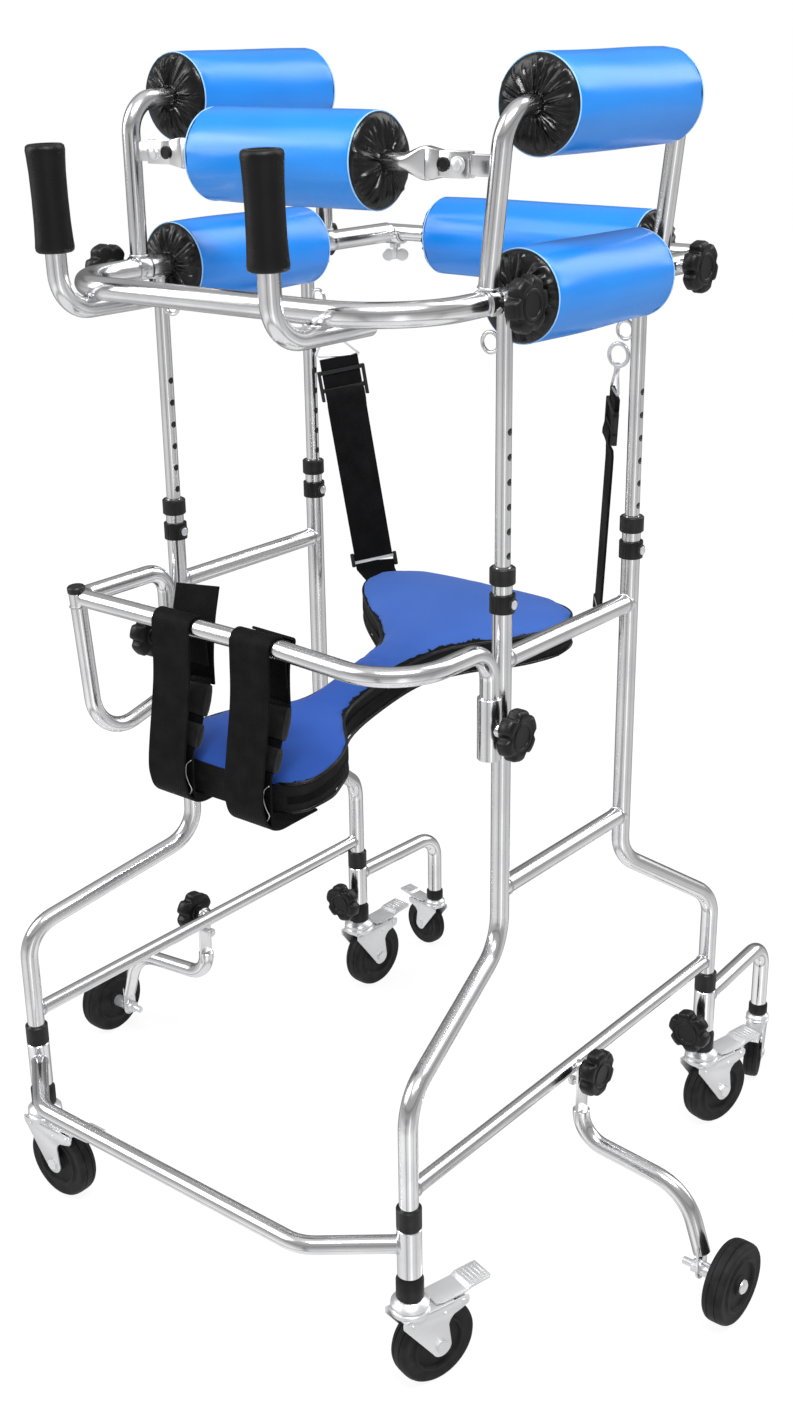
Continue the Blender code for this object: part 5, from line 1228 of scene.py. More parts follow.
def lobed(height, size, wave):
    """A circle with six notches of a given depth, at its height."""
    row = []
    for step in range(KNOB_SIDES):
        angle = 2 * pi * step / KNOB_SIDES
        reach = KNOB_RADIUS * size - wave * max(0.0, cos(6 * angle)) ** 1.6
        row.append(Vector((reach * cos(angle), reach * sin(angle), height)))
    return row


neck = [(0.0034, 0.0003), (0.0082, 0.0003), (0.0088, 0.0012), (0.0088, 0.0068), (0.0112, 0.0086)]
knob = merged(lofted([lobed(*row) for row in KNOB_ROWS]), turned(neck + [(0.003, 0.009)]))
stud = peg(0.0030, -0.0048, 0.020, 24)


def place_knob(name, place, axis, turn):
    piece(name, placed(knob, place, axis, turn), black_plastic, name, name, 50)
    piece(name + "_stud", placed(stud, place, axis, turn), pressed_zinc, name)


for side, x in SIDES.items():
    out = (x, 0, 0)
    face_x = x * (POST.x + SOCKET_RADIUS + BOSS_REACH)
    place_knob("waist_knob_" + side, (face_x, SOCKET_Y, (SOCKET[0] + SOCKET[1]) / 2), out, 20)
    face_x = x * (POST.x + RAIL_RADIUS + BOSS_REACH)
    for end, y, turn in zip(ENDS, RING_KNOB_Y[side], (8, 41)):
        place_knob("ring_knob_" + end + "_" + side, (face_x, y, RING_Z), out, turn)
    face_y = REAR_LEG_Y - SLEEVE_RADIUS - BOSS_REACH
    place_knob("rear_arm_knob_" + side, (x * LEG_X, face_y, ARM_KNOB_Z), (0, -1, 0), 15)
    face_x = x * (LEG_X + LEG_RAIL_RADIUS + 0.0048)
    place_knob("side_arm_knob_" + side, (face_x, SIDE_ARM_Y, LEG_RAIL_Z), out, 33)

# %% [markdown]
# ## Height catches
# A springy half clip sits round each outer post on its side towards +X, just under the bush, and
# carries the pin that enters a height hole. The pin's bright button shows in the middle of it. The
# other half of the post carries a fixed black band, from which the clip springs away when pulled.

# %% Form the catches
CATCH_HALF = 0.009
collar = turned([(0, 0.0112), (0.0062, 0.0112), (0.0062, 0.0128), (0.0056, 0.0134), (0, 0.0134)])
clip = merged(clasp(0.0123, 0.0099, -82, 82, 24, CATCH_HALF), placed(collar, (0, 0, 0), (1, 0, 0)))
fixed_band = clasp(0.0122, 0.0093, 84, 276, 24, CATCH_HALF)
button = [(0, 0.0095), (0.0030, 0.0095), (0.0044, 0.0128), (0.0044, 0.0142), (0.0032, 0.0150), (0, 0.0152)]
button = placed(turned(button, 28), (0, 0, 0), (1, 0, 0))
fixed_bands = []
for end, way in ENDS.items():
    for side, x in SIDES.items():
        name = "height_catch_" + end + "_" + side
        place = (x * POST.x, way * POST.y, CATCH_Z)
        fixed_bands.append(placed(fixed_band, place))
        piece(name, placed(clip, place), black_plastic, name, name)
        piece(name + "_button", placed(button, place), pressed_zinc, name)
piece("catch_bands", merged(*fixed_bands), black_plastic, "base")
print("catches at z", CATCH_Z)

# %% [markdown]
# ## Casters
# All six casters have the same parts, drawn once in their own frame: the swivel is the Z axis and
# the wheel trails towards +Y. The fork is pressed sheet: two cheeks that taper to the axle, a flat
# top and a ball race of two dished rings under the leg's plug.

# %% Press the fork of a caster
AXLE = (0.026, AXLE_Z)
PEDAL_PIN = (0.052, 0.082)
WHEEL_RADIUS = 0.044
FLOOR_DROP = WHEEL_RADIUS - AXLE_Z
FORK_INNER = 0.0143
FORK_SHEET = 0.0022
FORK_OUTER = FORK_INNER + FORK_SHEET
HEAD_Z = 0.1017


def upright(shape, x):
    """Turn a plate drawn in XY so that it stands along Y and Z, moved to x."""
    return moved(shape, Matrix(((0, 0, 1, x), (1, 0, 0, 0), (0, 1, 0, 0), (0, 0, 0, 1))))


def across(shape, y, z):
    """Lay a turned part along X through a point of the caster."""
    return placed(shape, (0, y, z), (1, 0, 0))


def caster_fork():
    cheek = [(-0.0185, 0.0865), (-0.0185, 0.0800), *arc(0.0115, 205, 355, 14, AXLE)]
    cheek += [(0.0345, 0.062), (0.0365, 0.067), (0.041, 0.0712), (0.050, 0.0735), (0.0575, 0.0760)]
    cheek += [(0.0595, 0.0790), (0.0595, 0.0840), (0.0575, 0.0862)]
    sheet = slab(cheek, 0, FORK_SHEET, 0.0006)
    parts = [upright(sheet, x) for x in (-FORK_OUTER, FORK_INNER)]
    parts.append(block((-FORK_OUTER, -0.0165, 0.0843), (FORK_OUTER, 0.042, 0.0867), 0.0008))
    race = [(0.0060, 0.0855), (0.0190, 0.0855), (0.0197, 0.0872), (0.0195, 0.0905), (0.0180, 0.0918)]
    race += [(0.0183, 0.0930), (0.0193, 0.0942), (0.0190, 0.0966), (0.0160, 0.0998), (0.0135, 0.1012)]
    parts.append(turned(race + [(0.0128, HEAD_Z), (0.0, HEAD_Z)], 56))
    parts.append(turned([(0.005, 0.1015), (0.005, 0.1225), (0.0044, 0.1235), (0, 0.1235)], 24))
    for way in (-1, 1):
        near = way * FORK_OUTER
        far = near + way * 0.0009
        parts.append(across(peg(0.0068, near, near + way * 0.0024, 6), *AXLE))
        parts.append(across(peg(0.0036, near, near + way * 0.0025, 20), *AXLE))
        for y, z, reach in ((*PEDAL_PIN, 0.0026), (0.030, 0.0770, 0.0024), (-0.008, 0.0790, 0.0022)):
            rivet = turned([(0, near), (reach, near), (reach * 0.8, far), (0, far)], 20)
            parts.append(across(rivet, y, z))
    parts.append(across(peg(0.0039, -FORK_OUTER, FORK_OUTER, 24), *AXLE))
    parts.append(across(peg(0.0019, -FORK_OUTER, FORK_OUTER, 16), *PEDAL_PIN))
    return merged(*parts)


print("fork is", round(FORK_OUTER * 2000, 1), "mm wide")

# %% [markdown]
# ## Wheels and brake pedals
# A wheel is moulded in one piece. Its profile has a hub boss, a dished web with one raised ring and
# a tread with two fine grooves. The pedal is a stepped plate whose sides are folded down, with five
# raised ribs where the foot presses.

# %% Mould the wheel and fold the pedal
WHEEL_HALF = (
    (0.0044, 0.0120), (0.0080, 0.0120), (0.0090, 0.0113), (0.0098, 0.0092), (0.0110, 0.0086),
    (0.0215, 0.0086), (0.0228, 0.0092), (0.0236, 0.0114), (0.0246, 0.0122), (0.0258, 0.0122),
    (0.0268, 0.0114), (0.0274, 0.0104), (0.0288, 0.0101), (0.0330, 0.0108), (0.0356, 0.0117),
    (0.0374, 0.0112), (0.0390, 0.0092), (0.0397, 0.0070), (0.0399, 0.0052), (0.0392, 0.0047),
    (0.0392, 0.0041), (0.0400, 0.0036),
)
PEDAL_TOP = 0.088 - PEDAL_PIN[1]
PEDAL_HALF = 0.013
RIBS = 5


def wheel():
    """A wheel about its own centre, its axle along X."""
    profile = [*WHEEL_HALF, *[(reach, -height) for reach, height in reversed(WHEEL_HALF)]]
    grow = WHEEL_RADIUS / WHEEL_HALF[-1][0]
    rows = [[Vector((u, v, height)) for u, v in circle(reach * grow, 72)] for reach, height in profile]
    return across(lofted(rows, ring=True), 0, 0)


def pedal_sheet(outline, thick, bevel):
    """A standing plate, from an outline whose heights are measured from the pedal's top."""
    return slab([(y, PEDAL_TOP + rise) for y, rise in outline], 0, thick, bevel)


def brake_pedal():
    """The pedal about its pin."""
    tread = [(-0.030, 0), (0.007, 0), (0.0115, 0.0036), (0.0355, 0.0046), (0.0360, 0.0058)]
    tread += [(0.0350, 0.0067), (0.0105, 0.0058), (0.006, 0.0022), (-0.0295, 0.0022)]
    flange = [(-0.026, 0.001), (-0.020, -0.0006), (0.004, -0.0006), (0.0115, 0.0016)]
    flange += [(0.034, 0.0030), (0.0352, 0.0056), (0.011, 0.0050), (0.006, 0.0018)]
    pin_z = -PEDAL_TOP
    lug = [(-0.0042, pin_z - 0.0026), (0.0, pin_z - 0.0042), (0.0042, pin_z - 0.0026)]
    lug += [(0.0042, 0.001), (-0.0042, 0.001)]
    parts = [upright(pedal_sheet(tread, 2 * PEDAL_HALF, 0.0007), -PEDAL_HALF)]
    for way in (-1, 1):
        parts.append(upright(pedal_sheet(flange, 0.0016, 0.0004), way * 0.0132 - 0.0008))
        parts.append(upright(pedal_sheet(lug, 0.002, 0.0004), way * 0.0118 - 0.0010))
    for step in range(RIBS):
        y = 0.0145 + step * 0.0046
        z = PEDAL_TOP + 0.0061 + step * 0.00018
        parts.append(block((-0.0108, y - 0.0009, z - 0.001), (0.0108, y + 0.0009, z + 0.0009), 0.0005))
    return merged(*parts)


print("wheel across in mm:", round(2000 * WHEEL_RADIUS))

# %% [markdown]
# ## Setting the casters down
# Each caster turns by its own heading about its stem, and the two on the rear arms are the same
# drawing at a smaller ratio.

# %% Place the six casters
ARM_X = 0.257
ARM_Y = 0.390
SMALL = 0.725
CASTERS = {
    "front_left": (LEG_X, FRONT_LEG_Y, 16, 1.0),
    "front_right": (-LEG_X, FRONT_LEG_Y, 90, 1.0),
    "rear_left": (LEG_X, REAR_LEG_Y, 14, 1.0),
    "rear_right": (-LEG_X, REAR_LEG_Y, 3.5, 1.0),
    "arm_left": (ARM_X, ARM_Y, 160, SMALL),
    "arm_right": (-ARM_X, ARM_Y, -80, SMALL),
}
wheel_shape = wheel()
caster_parts = (
    ("caster_fork_", caster_fork(), (0, 0, 0), pressed_zinc),
    ("caster_wheel_", wheel_shape, (0, *AXLE), black_rubber),
    ("brake_pedal_", brake_pedal(), (0, *PEDAL_PIN), pressed_zinc),
)
for name, (x, y, heading, ratio) in CASTERS.items():
    stand = Matrix.Translation((x, y, -FLOOR_DROP * (1 - ratio)))
    stand = stand @ Matrix.Rotation(radians(-heading), 4, "Z") @ Matrix.Scale(ratio, 4)
    for prefix, shape, offset, finish in caster_parts:
        node = prefix + name
        piece(node, moved(shape, stand @ Matrix.Translation(offset)), finish, node, node, 34)
print("casters:", ", ".join(CASTERS))

# %% [markdown]
# ## Rear arms
# A sleeve on each rear leg carries a tube that reaches back to a small caster, with a knob that
# clamps the sleeve. The tube turns down at its end into a ferrule over the caster's stem.

# %% Bend the rear arms
ARM_Z = 0.171
ARM_RADIUS = 0.0095
SMALL_HEAD_Z = HEAD_Z * SMALL - FLOOR_DROP * (1 - SMALL) + 0.0003
ferrule = [(0.005, 0), (0.0108, 0), (0.0115, 0.0008), (0.0115, 0.0115), (0.0097, 0.0140)]
ferrule = shifted(turned(ferrule), z=SMALL_HEAD_Z)
for side, x in SIDES.items():
    name = "rear_arm_" + side
    start = Vector((x * LEG_X, REAR_LEG_Y, ARM_Z))
    end = Vector((x * ARM_X, ARM_Y, ARM_Z))
    line = bent([start, end, (end.x, end.y, SMALL_HEAD_Z + 0.007)], 0.032)
    clamp = boss((x * LEG_X, REAR_LEG_Y - SLEEVE_RADIUS, ARM_KNOB_Z), (0, -1, 0))
    arm = merged(pipe(line, ARM_RADIUS), sleeve(x * LEG_X, REAR_LEG_Y), clamp)
    piece(name, arm, tube_steel, name, name)
    piece(name + "_ferrule", shifted(ferrule, end.x, end.y), black_plastic, name)
    away = (end - start).normalized()
    piece(name + "_weld", bead(start + away * 0.0120, away, ARM_RADIUS), weld_metal, name)
print("rear arms reach to y", end.y)

# %% [markdown]
# ## Side arms and their wheels
# A flat strip hangs from the lower rail and runs into a tube, which ends in a pressed plate with the
# axle of a plain wheel. A stop pin holds the strip upright.

# %% Form the side arms
SIDE_WHEEL_X = 0.4625
PLATE_X = 0.4275
STRIP_HALF = 0.0095
STRIP_SHEET = 0.003


def side_plate(outline, x):
    """A flat plate of a side arm, standing at x."""
    return shifted(upright(slab(outline, -STRIP_SHEET / 2, STRIP_SHEET / 2, 0.0005), x), 0, SIDE_ARM_Y)


strip = [(-STRIP_HALF, 0.157), (STRIP_HALF, 0.157), *arc(STRIP_HALF, 0, 180, 16, (0, LEG_RAIL_Z))]
plate = arc(STRIP_HALF, 180, 360, 16, (0, 0.0365))
plate += [(0.0095, 0.066), (0.0075, 0.070), (-0.0075, 0.070), (-0.0095, 0.066)]
face = SIDE_WHEEL_X + 0.0128
bolt = [(0, 0.407), (0.004, 0.407), (0.004, face), (0.0078, face), (0.0075, face + 0.0016)]
bolt += [(0.0052, face + 0.0035), (0.0022, face + 0.0041), (0, face + 0.0042)]
spacer_and_slot_shade = [(0.0041, 0.4275), (0.0072, 0.4275), (0.0075, 0.4285), (0.0075, 0.4495), (0.0041, 0.4497)]
nut = softened(peg(0.0078, 0.4185, 0.4262, 6), 0.0006)
axle = merged(turned(bolt, 32), turned(spacer_and_slot_shade, 32), nut)
pin = [(0, 0.0), (0.0030, 0.0), (0.0030, 0.016), (0.0052, 0.0163), (0.0048, 0.0182), (0, 0.0188)]
stop = merged(turned(pin, 24), softened(peg(0.0056, 0.002, 0.006, 6), 0.0005))
for side, x in SIDES.items():
    name = "side_arm_" + side
    inner = x * (LEG_X + LEG_RAIL_RADIUS + 0.0018)
    strip_x = inner + x * STRIP_SHEET / 2
    corners = [(strip_x, 0.170), (strip_x, 0.137), (x * 0.405, 0.125), (x * PLATE_X, 0.058)]
    tube = pipe(bent([(u, SIDE_ARM_Y, z) for u, z in corners], (0.032, 0.055)), 0.009)
    arm = merged(side_plate(strip, strip_x), side_plate(plate, x * PLATE_X), tube)
    piece(name, arm, tube_steel, name, name)
    axle_place = placed(axle, (0, SIDE_ARM_Y, AXLE_Z), (x, 0, 0))
    stop_place = placed(stop, (inner - x * 0.014, SIDE_ARM_Y, 0.2005), (x, 0, 0))
    piece(name + "_bolts", merged(axle_place, stop_place), pressed_zinc, name)
    name = "side_wheel_" + side
    piece(name, shifted(wheel_shape, x * SIDE_WHEEL_X, SIDE_ARM_Y, AXLE_Z), black_rubber, name, name, 34)
print("side wheels at x", SIDE_WHEEL_X)

# %% [markdown]
# ## The seat cushion
# The seat is an hourglass cushion: blue woven cloth on top, with a black mesh gusset and base. A
# smooth curve through a few widths gives its plan. The closed skin is blown up a little by a cloth
# simulation, as real padding does, and is then cut into its two cloths by the slope of each face.

# %% Loft the cushion
SEAT_STATIONS = (
    (-0.262, -0.018, 0.060, 0.566), (-0.240, -0.018, 0.095, 0.571), (-0.200, -0.017, 0.098, 0.578),
    (-0.165, -0.012, 0.080, 0.585), (-0.136, -0.008, 0.050, 0.590), (-0.105, -0.005, 0.031, 0.597),
    (0.000, -0.006, 0.033, 0.617), (0.040, -0.007, 0.058, 0.626), (0.080, -0.009, 0.104, 0.634),
    (0.120, -0.011, 0.139, 0.643), (0.157, -0.011, 0.137, 0.650), (0.182, -0.010, 0.091, 0.654),
)
SEAT_DEPTH = 0.053
CROWN = 0.009
ROWS_PER_STATION = 6
COLUMNS = 24


def seat_row(position):
    """The seat's y, middle, half width and top height, on a smooth curve through the stations."""
    last = len(SEAT_STATIONS) - 1
    index = min(int(position), last - 1)
    t = position - index
    before = Vector(SEAT_STATIONS[max(index - 1, 0)])
    start, end = Vector(SEAT_STATIONS[index]), Vector(SEAT_STATIONS[index + 1])
    after = Vector(SEAT_STATIONS[min(index + 2, last)])
    leave, arrive = (end - before) / 2, (after - start) / 2
    return (start * (2 * t**3 - 3 * t**2 + 1) + leave * (t**3 - 2 * t**2 + t)
            + end * (3 * t**2 - 2 * t**3) + arrive * (t**3 - t**2))


def cushion(inset):
    """The closed skin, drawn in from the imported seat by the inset."""
    rows = []
    steps = (len(SEAT_STATIONS) - 1) * ROWS_PER_STATION
    spread = [-1 + 2 * column / COLUMNS for column in range(COLUMNS + 1)]
    for number in range(steps + 1):
        y, middle, half, top = seat_row(number / ROWS_PER_STATION)
        y += inset * (1 - 2 * number / steps)
        half -= inset
        rim, base = top - inset - CROWN, top - SEAT_DEPTH + inset
        dome = CROWN * min(1, min(number, steps - number) / steps * 6)
        gusset = [rim + (base - rim) * column / 5 for column in range(1, 5)]
        outline = [Vector((middle + u * half, y, rim + dome * (1 - u * u))) for u in spread]
        outline += [Vector((middle + half, y, z)) for z in gusset]
        outline += [Vector((middle - u * half, y, base)) for u in spread]
        outline += [Vector((middle - half, y, z)) for z in reversed(gusset)]
        rows.append(outline)
    return lofted(rows)


seat_item = piece("seat", cushion(0.003), blue_cloth, "base", "seat", 180)
seat_item.data.materials.append(black_mesh)
print("faces of the cushion before padding:", len(seat_item.data.polygons))

# %% [markdown]
# ## Blowing up the cushion
# Voxel remeshing gives even faces. The Cloth modifier then pushes them outwards by its pressure for
# twenty frames with no gravity. How far a point may move is capped, so that the cushion stays in its
# place, and a Subdivision modifier rounds the result.


# %% Pad the cushion by cloth simulation
def apply_modifiers(item):
    graph = bpy.context.evaluated_depsgraph_get()
    mesh = bpy.data.meshes.new_from_object(item.evaluated_get(graph))
    item.modifiers.clear()
    item.data = mesh


def blow_up(item, voxel, pressure, cap):
    remesh = item.modifiers.new("remesh", "REMESH")
    remesh.mode = "VOXEL"
    remesh.voxel_size = voxel
    apply_modifiers(item)
    start = [vertex.co.copy() for vertex in item.data.vertices]
    cloth = item.modifiers.new("cloth", "CLOTH")
    cloth.settings.use_pressure = True
    cloth.settings.uniform_pressure_force = pressure
    cloth.settings.effector_weights.gravity = 0
    cloth.settings.quality = 4
    scene = bpy.context.scene
    for number in range(1, 21):
        scene.frame_set(number)
        bpy.context.view_layer.update()
    apply_modifiers(item)
    scene.frame_set(1)
    for vertex, before in zip(item.data.vertices, start):
        step = vertex.co - before
        if step.length > cap:
            vertex.co = before + step * (cap / step.length)


blow_up(seat_item, 0.006, 4, 0.004)
smooth = seat_item.modifiers.new("rounding", "SUBSURF")
smooth.levels = smooth.render_levels = 1
apply_modifiers(seat_item)
seat_item.data.materials.clear()
for finish in (blue_cloth, black_mesh):
    seat_item.data.materials.append(finish)
for face in seat_item.data.polygons:
    face.material_index = 0 if face.normal.z > 0.45 else 1
    face.use_smooth = True
print("faces of the cushion:", len(seat_item.data.polygons))

# %% [markdown]
# ## Piping and zip
# A thin cord is sewn in where the top meets the gusset, and another at its lower edge. A zip runs
# round the middle of the gusset. All three follow the plan of the cushion at their own heights.


# %% Sew the piping and the zip
PLAN_STEPS = 8
SEAM_OUT = 0.006


def calmed(points, passes):
    """A closed line with its small waves averaged out."""
    for _ in range(passes):
        neighbours = zip([points[-1], *points], points, [*points[1:], points[0]])
        points = [(before + point * 2 + after) / 4 for before, point, after in neighbours]
    return points


def plan_line(drop, out):
    """The outline of the cushion seen from above, a given distance below its top."""
    ends = {1: [], -1: []}
    for number in range((len(SEAT_STATIONS) - 1) * PLAN_STEPS + 1):
        y, middle, half, top = seat_row(number / PLAN_STEPS)
        for way, points in ends.items():
            points.append(Vector((middle + way * (half + out), y, top - drop)))
    return calmed(ends[1] + ends[-1][::-1], 1)


seat_index = BVHTree.FromPolygons(
    [vertex.co - SHIFT for vertex in seat_item.data.vertices],
    [tuple(face.vertices) for face in seat_item.data.polygons],
)


def on_cushion(point, above):
    """The nearest place on the padded cushion, a little above its skin."""
    place, normal = seat_index.find_nearest(point)[:2]
    return place + normal * above


def seam_line(drop, above):
    """A line round the padded cushion, a given distance below its top."""
    return calmed([on_cushion(point, above) for point in plan_line(drop, SEAM_OUT)], 6)


def oblong(half_width, half_thick):
    """The section of a flat bar."""
    return [(u * half_width, v * half_thick) for u, v in ((-1, -1), (1, -1), (1, 1), (-1, 1))]


piping = [swept(seam_line(drop, 0.0010), circle(0.0015, 10), ring=True) for drop in (0.011, 0.048)]
piece("seat_piping", merged(*piping), black_nylon, "base")
zip_line = swept(seam_line(0.031, 0.0006), oblong(0.0040, 0.0005), across=(0, 0, 1), ring=True)
piece("seat_zip", zip_line, black_webbing, "base")
plan = plan_line(0, 0)
print("length of the piping in mm:", round(sum((b - a).length for a, b in zip(plan, plan[1:])) * 1000))

# %% [markdown]
# ## Front straps
# Two wide bands come up from under the seat, pass over the waist bar and hang down behind it to an
# adjuster. A band is a flat rounded outline that is carried along a line in the YZ plane, with its
# width kept along X.

# %% Hang the front straps
STRAP_WIDTH = 0.051
STRAP_THICK = 0.0025
STRAP_X = {"left": 0.0345, "right": -0.0705}
UNDER_Z = {"left": 0.513, "right": 0.515}


def flat_band(width, thick=STRAP_THICK):
    """The section of a band, with rounded selvedges."""
    half = width / 2
    row = [(u * half, thick / 2) for u in (-0.97, -0.8, -0.4, 0, 0.4, 0.8, 0.97)] + [(half, 0)]
    return row + [(u, -v) for u, v in reversed(row[:-1])] + [(-half, 0)]


def smooth_line(points, steps=6):
    """A smooth line through a few points."""
    points = [Vector(point) for point in points]
    padded_points = [points[0], *points, points[-1]]
    line = []
    for a, b, c, d in zip(padded_points, padded_points[1:], padded_points[2:], padded_points[3:]):
        for step in range(steps):
            t = step / steps
            bow = (2 * a - 5 * b + 4 * c - d) * t**2 + (3 * b - a - 3 * c + d) * t**3
            line.append((2 * b + (c - a) * t + bow) / 2)
    return line + [points[-1]]


def in_plane(x, points):
    """Points of the YZ plane as points at x."""
    return [Vector((x, y, z)) for y, z in points]


hang = BAR_RADIUS + 0.0008 + STRAP_THICK / 2
for side, x in STRAP_X.items():
    z = UNDER_Z[side]
    rise = [(-0.205, z), (-0.238, z - 0.001), (-0.2595, z - 0.001), (-0.2735, z + 0.006)]
    rise += [(-0.2805, z + 0.020), (-0.2812, z + 0.045), (BAR_Y - hang - 0.003, BAR_Z - 0.060)]
    rise.append((BAR_Y - hang - 0.0006, BAR_Z - 0.020))
    over = arc(hang, 180, 0, 16, (BAR_Y, BAR_Z))
    over += [(BAR_Y + hang, BAR_Z - 0.02), (BAR_Y + hang + 0.001, 0.652)]
    line = smooth_line(in_plane(x, rise)) + in_plane(x, over)
    band = swept(line, flat_band(STRAP_WIDTH), across=(1, 0, 0))
    name = "seat_strap_front_" + side
    strap = piece(name, band, black_webbing, None, name, 50)
    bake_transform(strap)
print("front straps:", list(STRAP_X))

# %% [markdown]
# ## Buckles and free ends
# Behind the waist bar each front strap runs through two closed buckles and back down to the seat's
# front edge. Its free end comes out of the upper buckle and stands up behind the bar, with a
# stitched hem. Short bits of bright wire show at the lower buckle and at the seat's edge.

# %% Add the buckles and the free ends
def moulded(middle, slope, half_width, half_length):
    """A closed buckle: a rounded plate that is thickest across its middle."""
    down = Vector((0, slope, -1)).normalized()
    over = down.cross(Vector((1, 0, 0)))
    rows = []
    for share, swell in ((-1, 0.35), (-0.93, 0.7), (-0.6, 0.9), (0, 1), (0.6, 0.9), (0.93, 0.7), (1, 0.35)):
        thick = 0.0048 * swell
        wide = half_width * (0.94 + 0.06 * swell)
        near = [(-wide, -thick * 0.5), (-wide * 0.95, -thick), (wide * 0.95, -thick), (wide, -thick * 0.5)]
        centre = Vector(middle) + down * (share * half_length)
        outline = near + [(u, -v) for u, v in reversed(near)]
        rows.append([centre + Vector((u, 0, 0)) + over * v for u, v in outline])
    return lofted(rows)


TAILS = {
    "left": (Vector((0.0360, -0.2340, 0.7010)), Vector((1, 0, 0))),
    "right": (Vector((-0.0785, -0.2170, 0.7235)), Vector((0.974, 0.225, 0))),
}
STITCH_OFF = Vector((0.0006, -0.0015, 0))
STITCH_HALF = 0.023
WIRE = (
    (0.0235, -0.2712, 0.561), (0.0175, -0.2718, 0.555), (0.0165, -0.2722, 0.545),
    (0.0200, -0.2724, 0.536), (0.0235, -0.2724, 0.530), (0.0190, -0.2726, 0.522),
)
behind = BAR_Y + hang + 0.0045
for side, x in STRAP_X.items():
    tail_end, across_way = TAILS[side]
    tail = in_plane(x, [(behind, 0.630), (behind, 0.655), (behind + 0.002, BAR_Z - 0.018)])
    tail = smooth_line([*tail, (x * 0.5 + tail_end.x * 0.5, behind + 0.009, BAR_Z), tail_end])
    back_run = in_plane(x, [(-0.2687, 0.5180), (-0.2690, 0.545), (-0.2672, 0.568)])
    back_run += in_plane(x + 0.002, [(-0.258, 0.588), (-0.250, 0.612)])
    back_run = smooth_line([*back_run, (x, behind, 0.636)])
    stitches = []
    for drop in (0.004, 0.0075):
        middle = tail_end - Vector((0, 0, drop)) + STITCH_OFF
        ends = [middle - across_way * STITCH_HALF, middle + across_way * STITCH_HALF]
        stitches.append(pipe(ends, 0.0005))
    tail_band = swept(tail, flat_band(0.050), across=across_way)
    runs = merged(tail_band, swept(back_run, flat_band(0.049), across=(1, 0, 0)))
    upper = moulded((x + 0.002, -0.2475, 0.618), -0.32, 0.0275, 0.016)
    lower = moulded((x + 0.002, -0.2600, 0.584), -0.38, 0.0262, 0.012)
    glints = [block((x + 0.014, -0.2655, 0.5735), (x + 0.0205, -0.2635, 0.5765), 0.0006)]
    glints.append(swept(smooth_line([(x + u, y, z) for u, y, z in WIRE]), circle(0.0005, 10)))
    name = "seat_strap_front_" + side
    added = (
        piece(name + "_runs", runs, black_webbing, None, None, 50),
        piece(name + "_hem", merged(*stitches), black_rubber, None, None, 50),
        piece(name + "_buckles", merged(upper, lower), black_plastic, None, None, 40),
        piece(name + "_wire", merged(*glints), pressed_zinc, None, None, 40),
    )
    for item in added:
        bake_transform(item)
print("free ends stand above the bar by mm:", [round((tail[0].z - BAR_Z) * 1000) for tail in TAILS.values()])

# %% [markdown]
# ## Rear straps
# At the rear, a short tab from each seat corner holds a flat metal loop. The band goes from that
# loop up to a slide buckle, doubles back through a wire ring, and a hook joins the ring to an eye
# on the upper frame. The band's width runs aslant, because it faces the seat.

# %% Hang the rear straps
REAR_TOP, REAR_BEND, REAR_END = (0.1935, 0.1124, 0.928), (0.183, 0.124, 0.889), (0.1534, 0.150, 0.6278)
REAR_HALF = 0.0225
REAR_BAND = (
    (0.036, 0.0030), (0.041, 0.0048), (0.047, 0.0052), (0.051, 0.0044), (0.056, 0.0018), (0.062, 0.0004),
    (0.075, 0), (0.110, 0), (0.150, 0), (0.190, 0), (0.220, 0), (0.2405, 0),
)
TAB_HALF = 0.0228
TAB_COLUMNS = 12


def slide_buckle(middle, down, across_way, half_width, half_length, bars):
    """A plastic frame with cross bars, in the plane of down and across."""
    parts = []
    for way in bars:
        centre = middle + down * (way * (half_length - 0.002))
        ends = [centre - down * 0.0021, centre + down * 0.0021]
        parts.append(swept(ends, oblong(half_width, 0.0028), across=across_way))
    for way in (-1, 1):
        outline = [(u + way * (half_width - 0.0017), v) for u, v in oblong(0.0017, 0.0034)]
        ends = [middle - down * half_length, middle + down * half_length]
        parts.append(swept(ends, outline, across=across_way))
    return merged(*[softened(part, 0.0006) for part in parts])


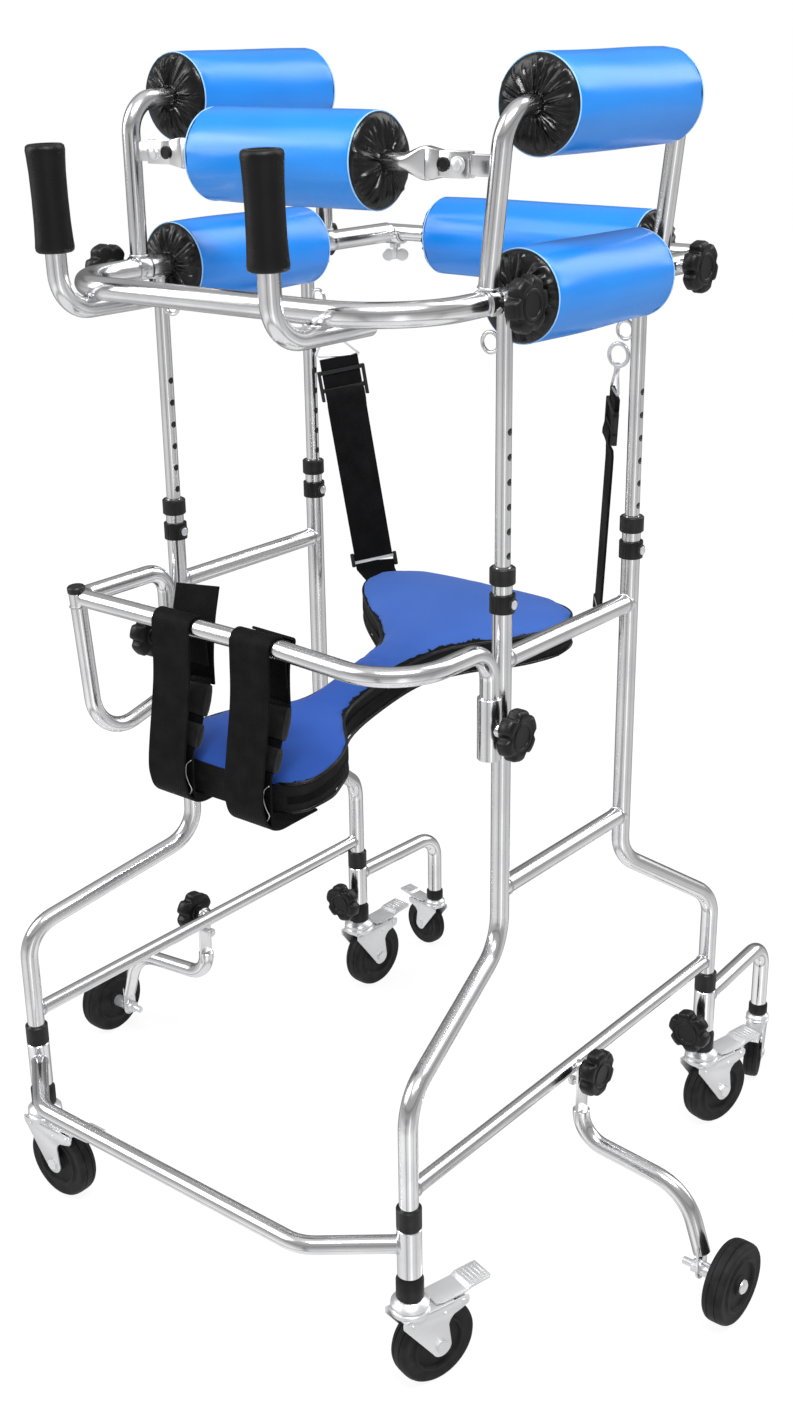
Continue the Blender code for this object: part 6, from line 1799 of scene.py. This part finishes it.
for side, x in SIDES.items():
    top, bend, end = [Vector((x * u, v, w)) for u, v, w in (REAR_TOP, REAR_BEND, REAR_END)]
    across_way = Vector((x * -0.64, 0.77, 0)).normalized()
    down = (end - bend).normalized()
    front = down.cross(across_way) * -x

    def along(s, out=0.0, u=0.0):
        return bend + down * s + front * out + across_way * u

    name = "seat_strap_rear_" + side
    band = swept([along(s, out) for s, out in REAR_BAND], flat_band(2 * REAR_HALF), across=across_way)
    double = [along(s, -0.0006) for s in (0.0015, 0.012, 0.030, 0.050)]
    double = swept(double, flat_band(0.044, 0.0048), across=across_way)
    buckle = slide_buckle(along(0.031, 0.0010), down, across_way, 0.0272, 0.0170, (-1, 0.35))
    apex = bend.lerp(top, 0.55)
    corners = [middle + across_way * (way * half) for middle, half, way in (
        (bend, 0.0262, -1), (bend, 0.0262, 1), (apex, 0.0080, 1), (apex, 0.0080, -1))]
    loop = []
    for here, after in zip(corners, corners[1:] + corners[:1]):
        loop += [here.lerp(after, share) for share in (0.08, 0.3, 0.5, 0.7, 0.92)]
    ring = swept(loop, circle(0.0014, 12), ring=True)
    eye = placed(hoop(0.011, 0.002, 40, 12), top, (0, 1, 0))
    stem = pipe([apex, top + (apex - top).normalized() * 0.010], 0.0030, 16)
    holders = []
    for u in (-0.0252, 0.0252):
        holders.append(pipe([along(0.234, 0, u), along(0.250, 0, u)], 0.0024, 14))
    bar = softened(swept([along(0.2395), along(0.2432)], oblong(0.0240, 0.0016), across=across_way), 0.0006)
    added = (
        piece(name, merged(band, double), black_webbing, None, name, 50),
        piece(name + "_buckle", buckle, black_plastic, None, None, 40),
        piece(name + "_hook", merged(eye, stem, ring), pressed_zinc, None, None, 40),
        piece(name + "_holders", merged(*holders), black_plastic, None, None, 40),
        piece(name + "_loop", bar, pressed_zinc, None, None, 40),
    )
    for item in added:
        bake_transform(item)
    rows = []
    for step in range(TAB_COLUMNS + 1):
        u = TAB_HALF * (2 * step / TAB_COLUMNS - 1)
        first, middle = along(0.2432, 0, u), along(0.254, 0, u)
        seat_point = on_cushion(first + Vector((-x * 0.012, 0, -0.024)), 0.0008)
        skin = [first, middle, middle.lerp(seat_point, 0.5), seat_point]
        outer_skin = [point + front * 0.0012 for point in skin]
        rows.append(outer_skin + [point - front * 0.0012 for point in reversed(skin)])
    piece("seat_tab_" + side, lofted(rows), black_webbing, "base", None, 60)
print("width of the rear straps in mm:", 2000 * REAR_HALF)
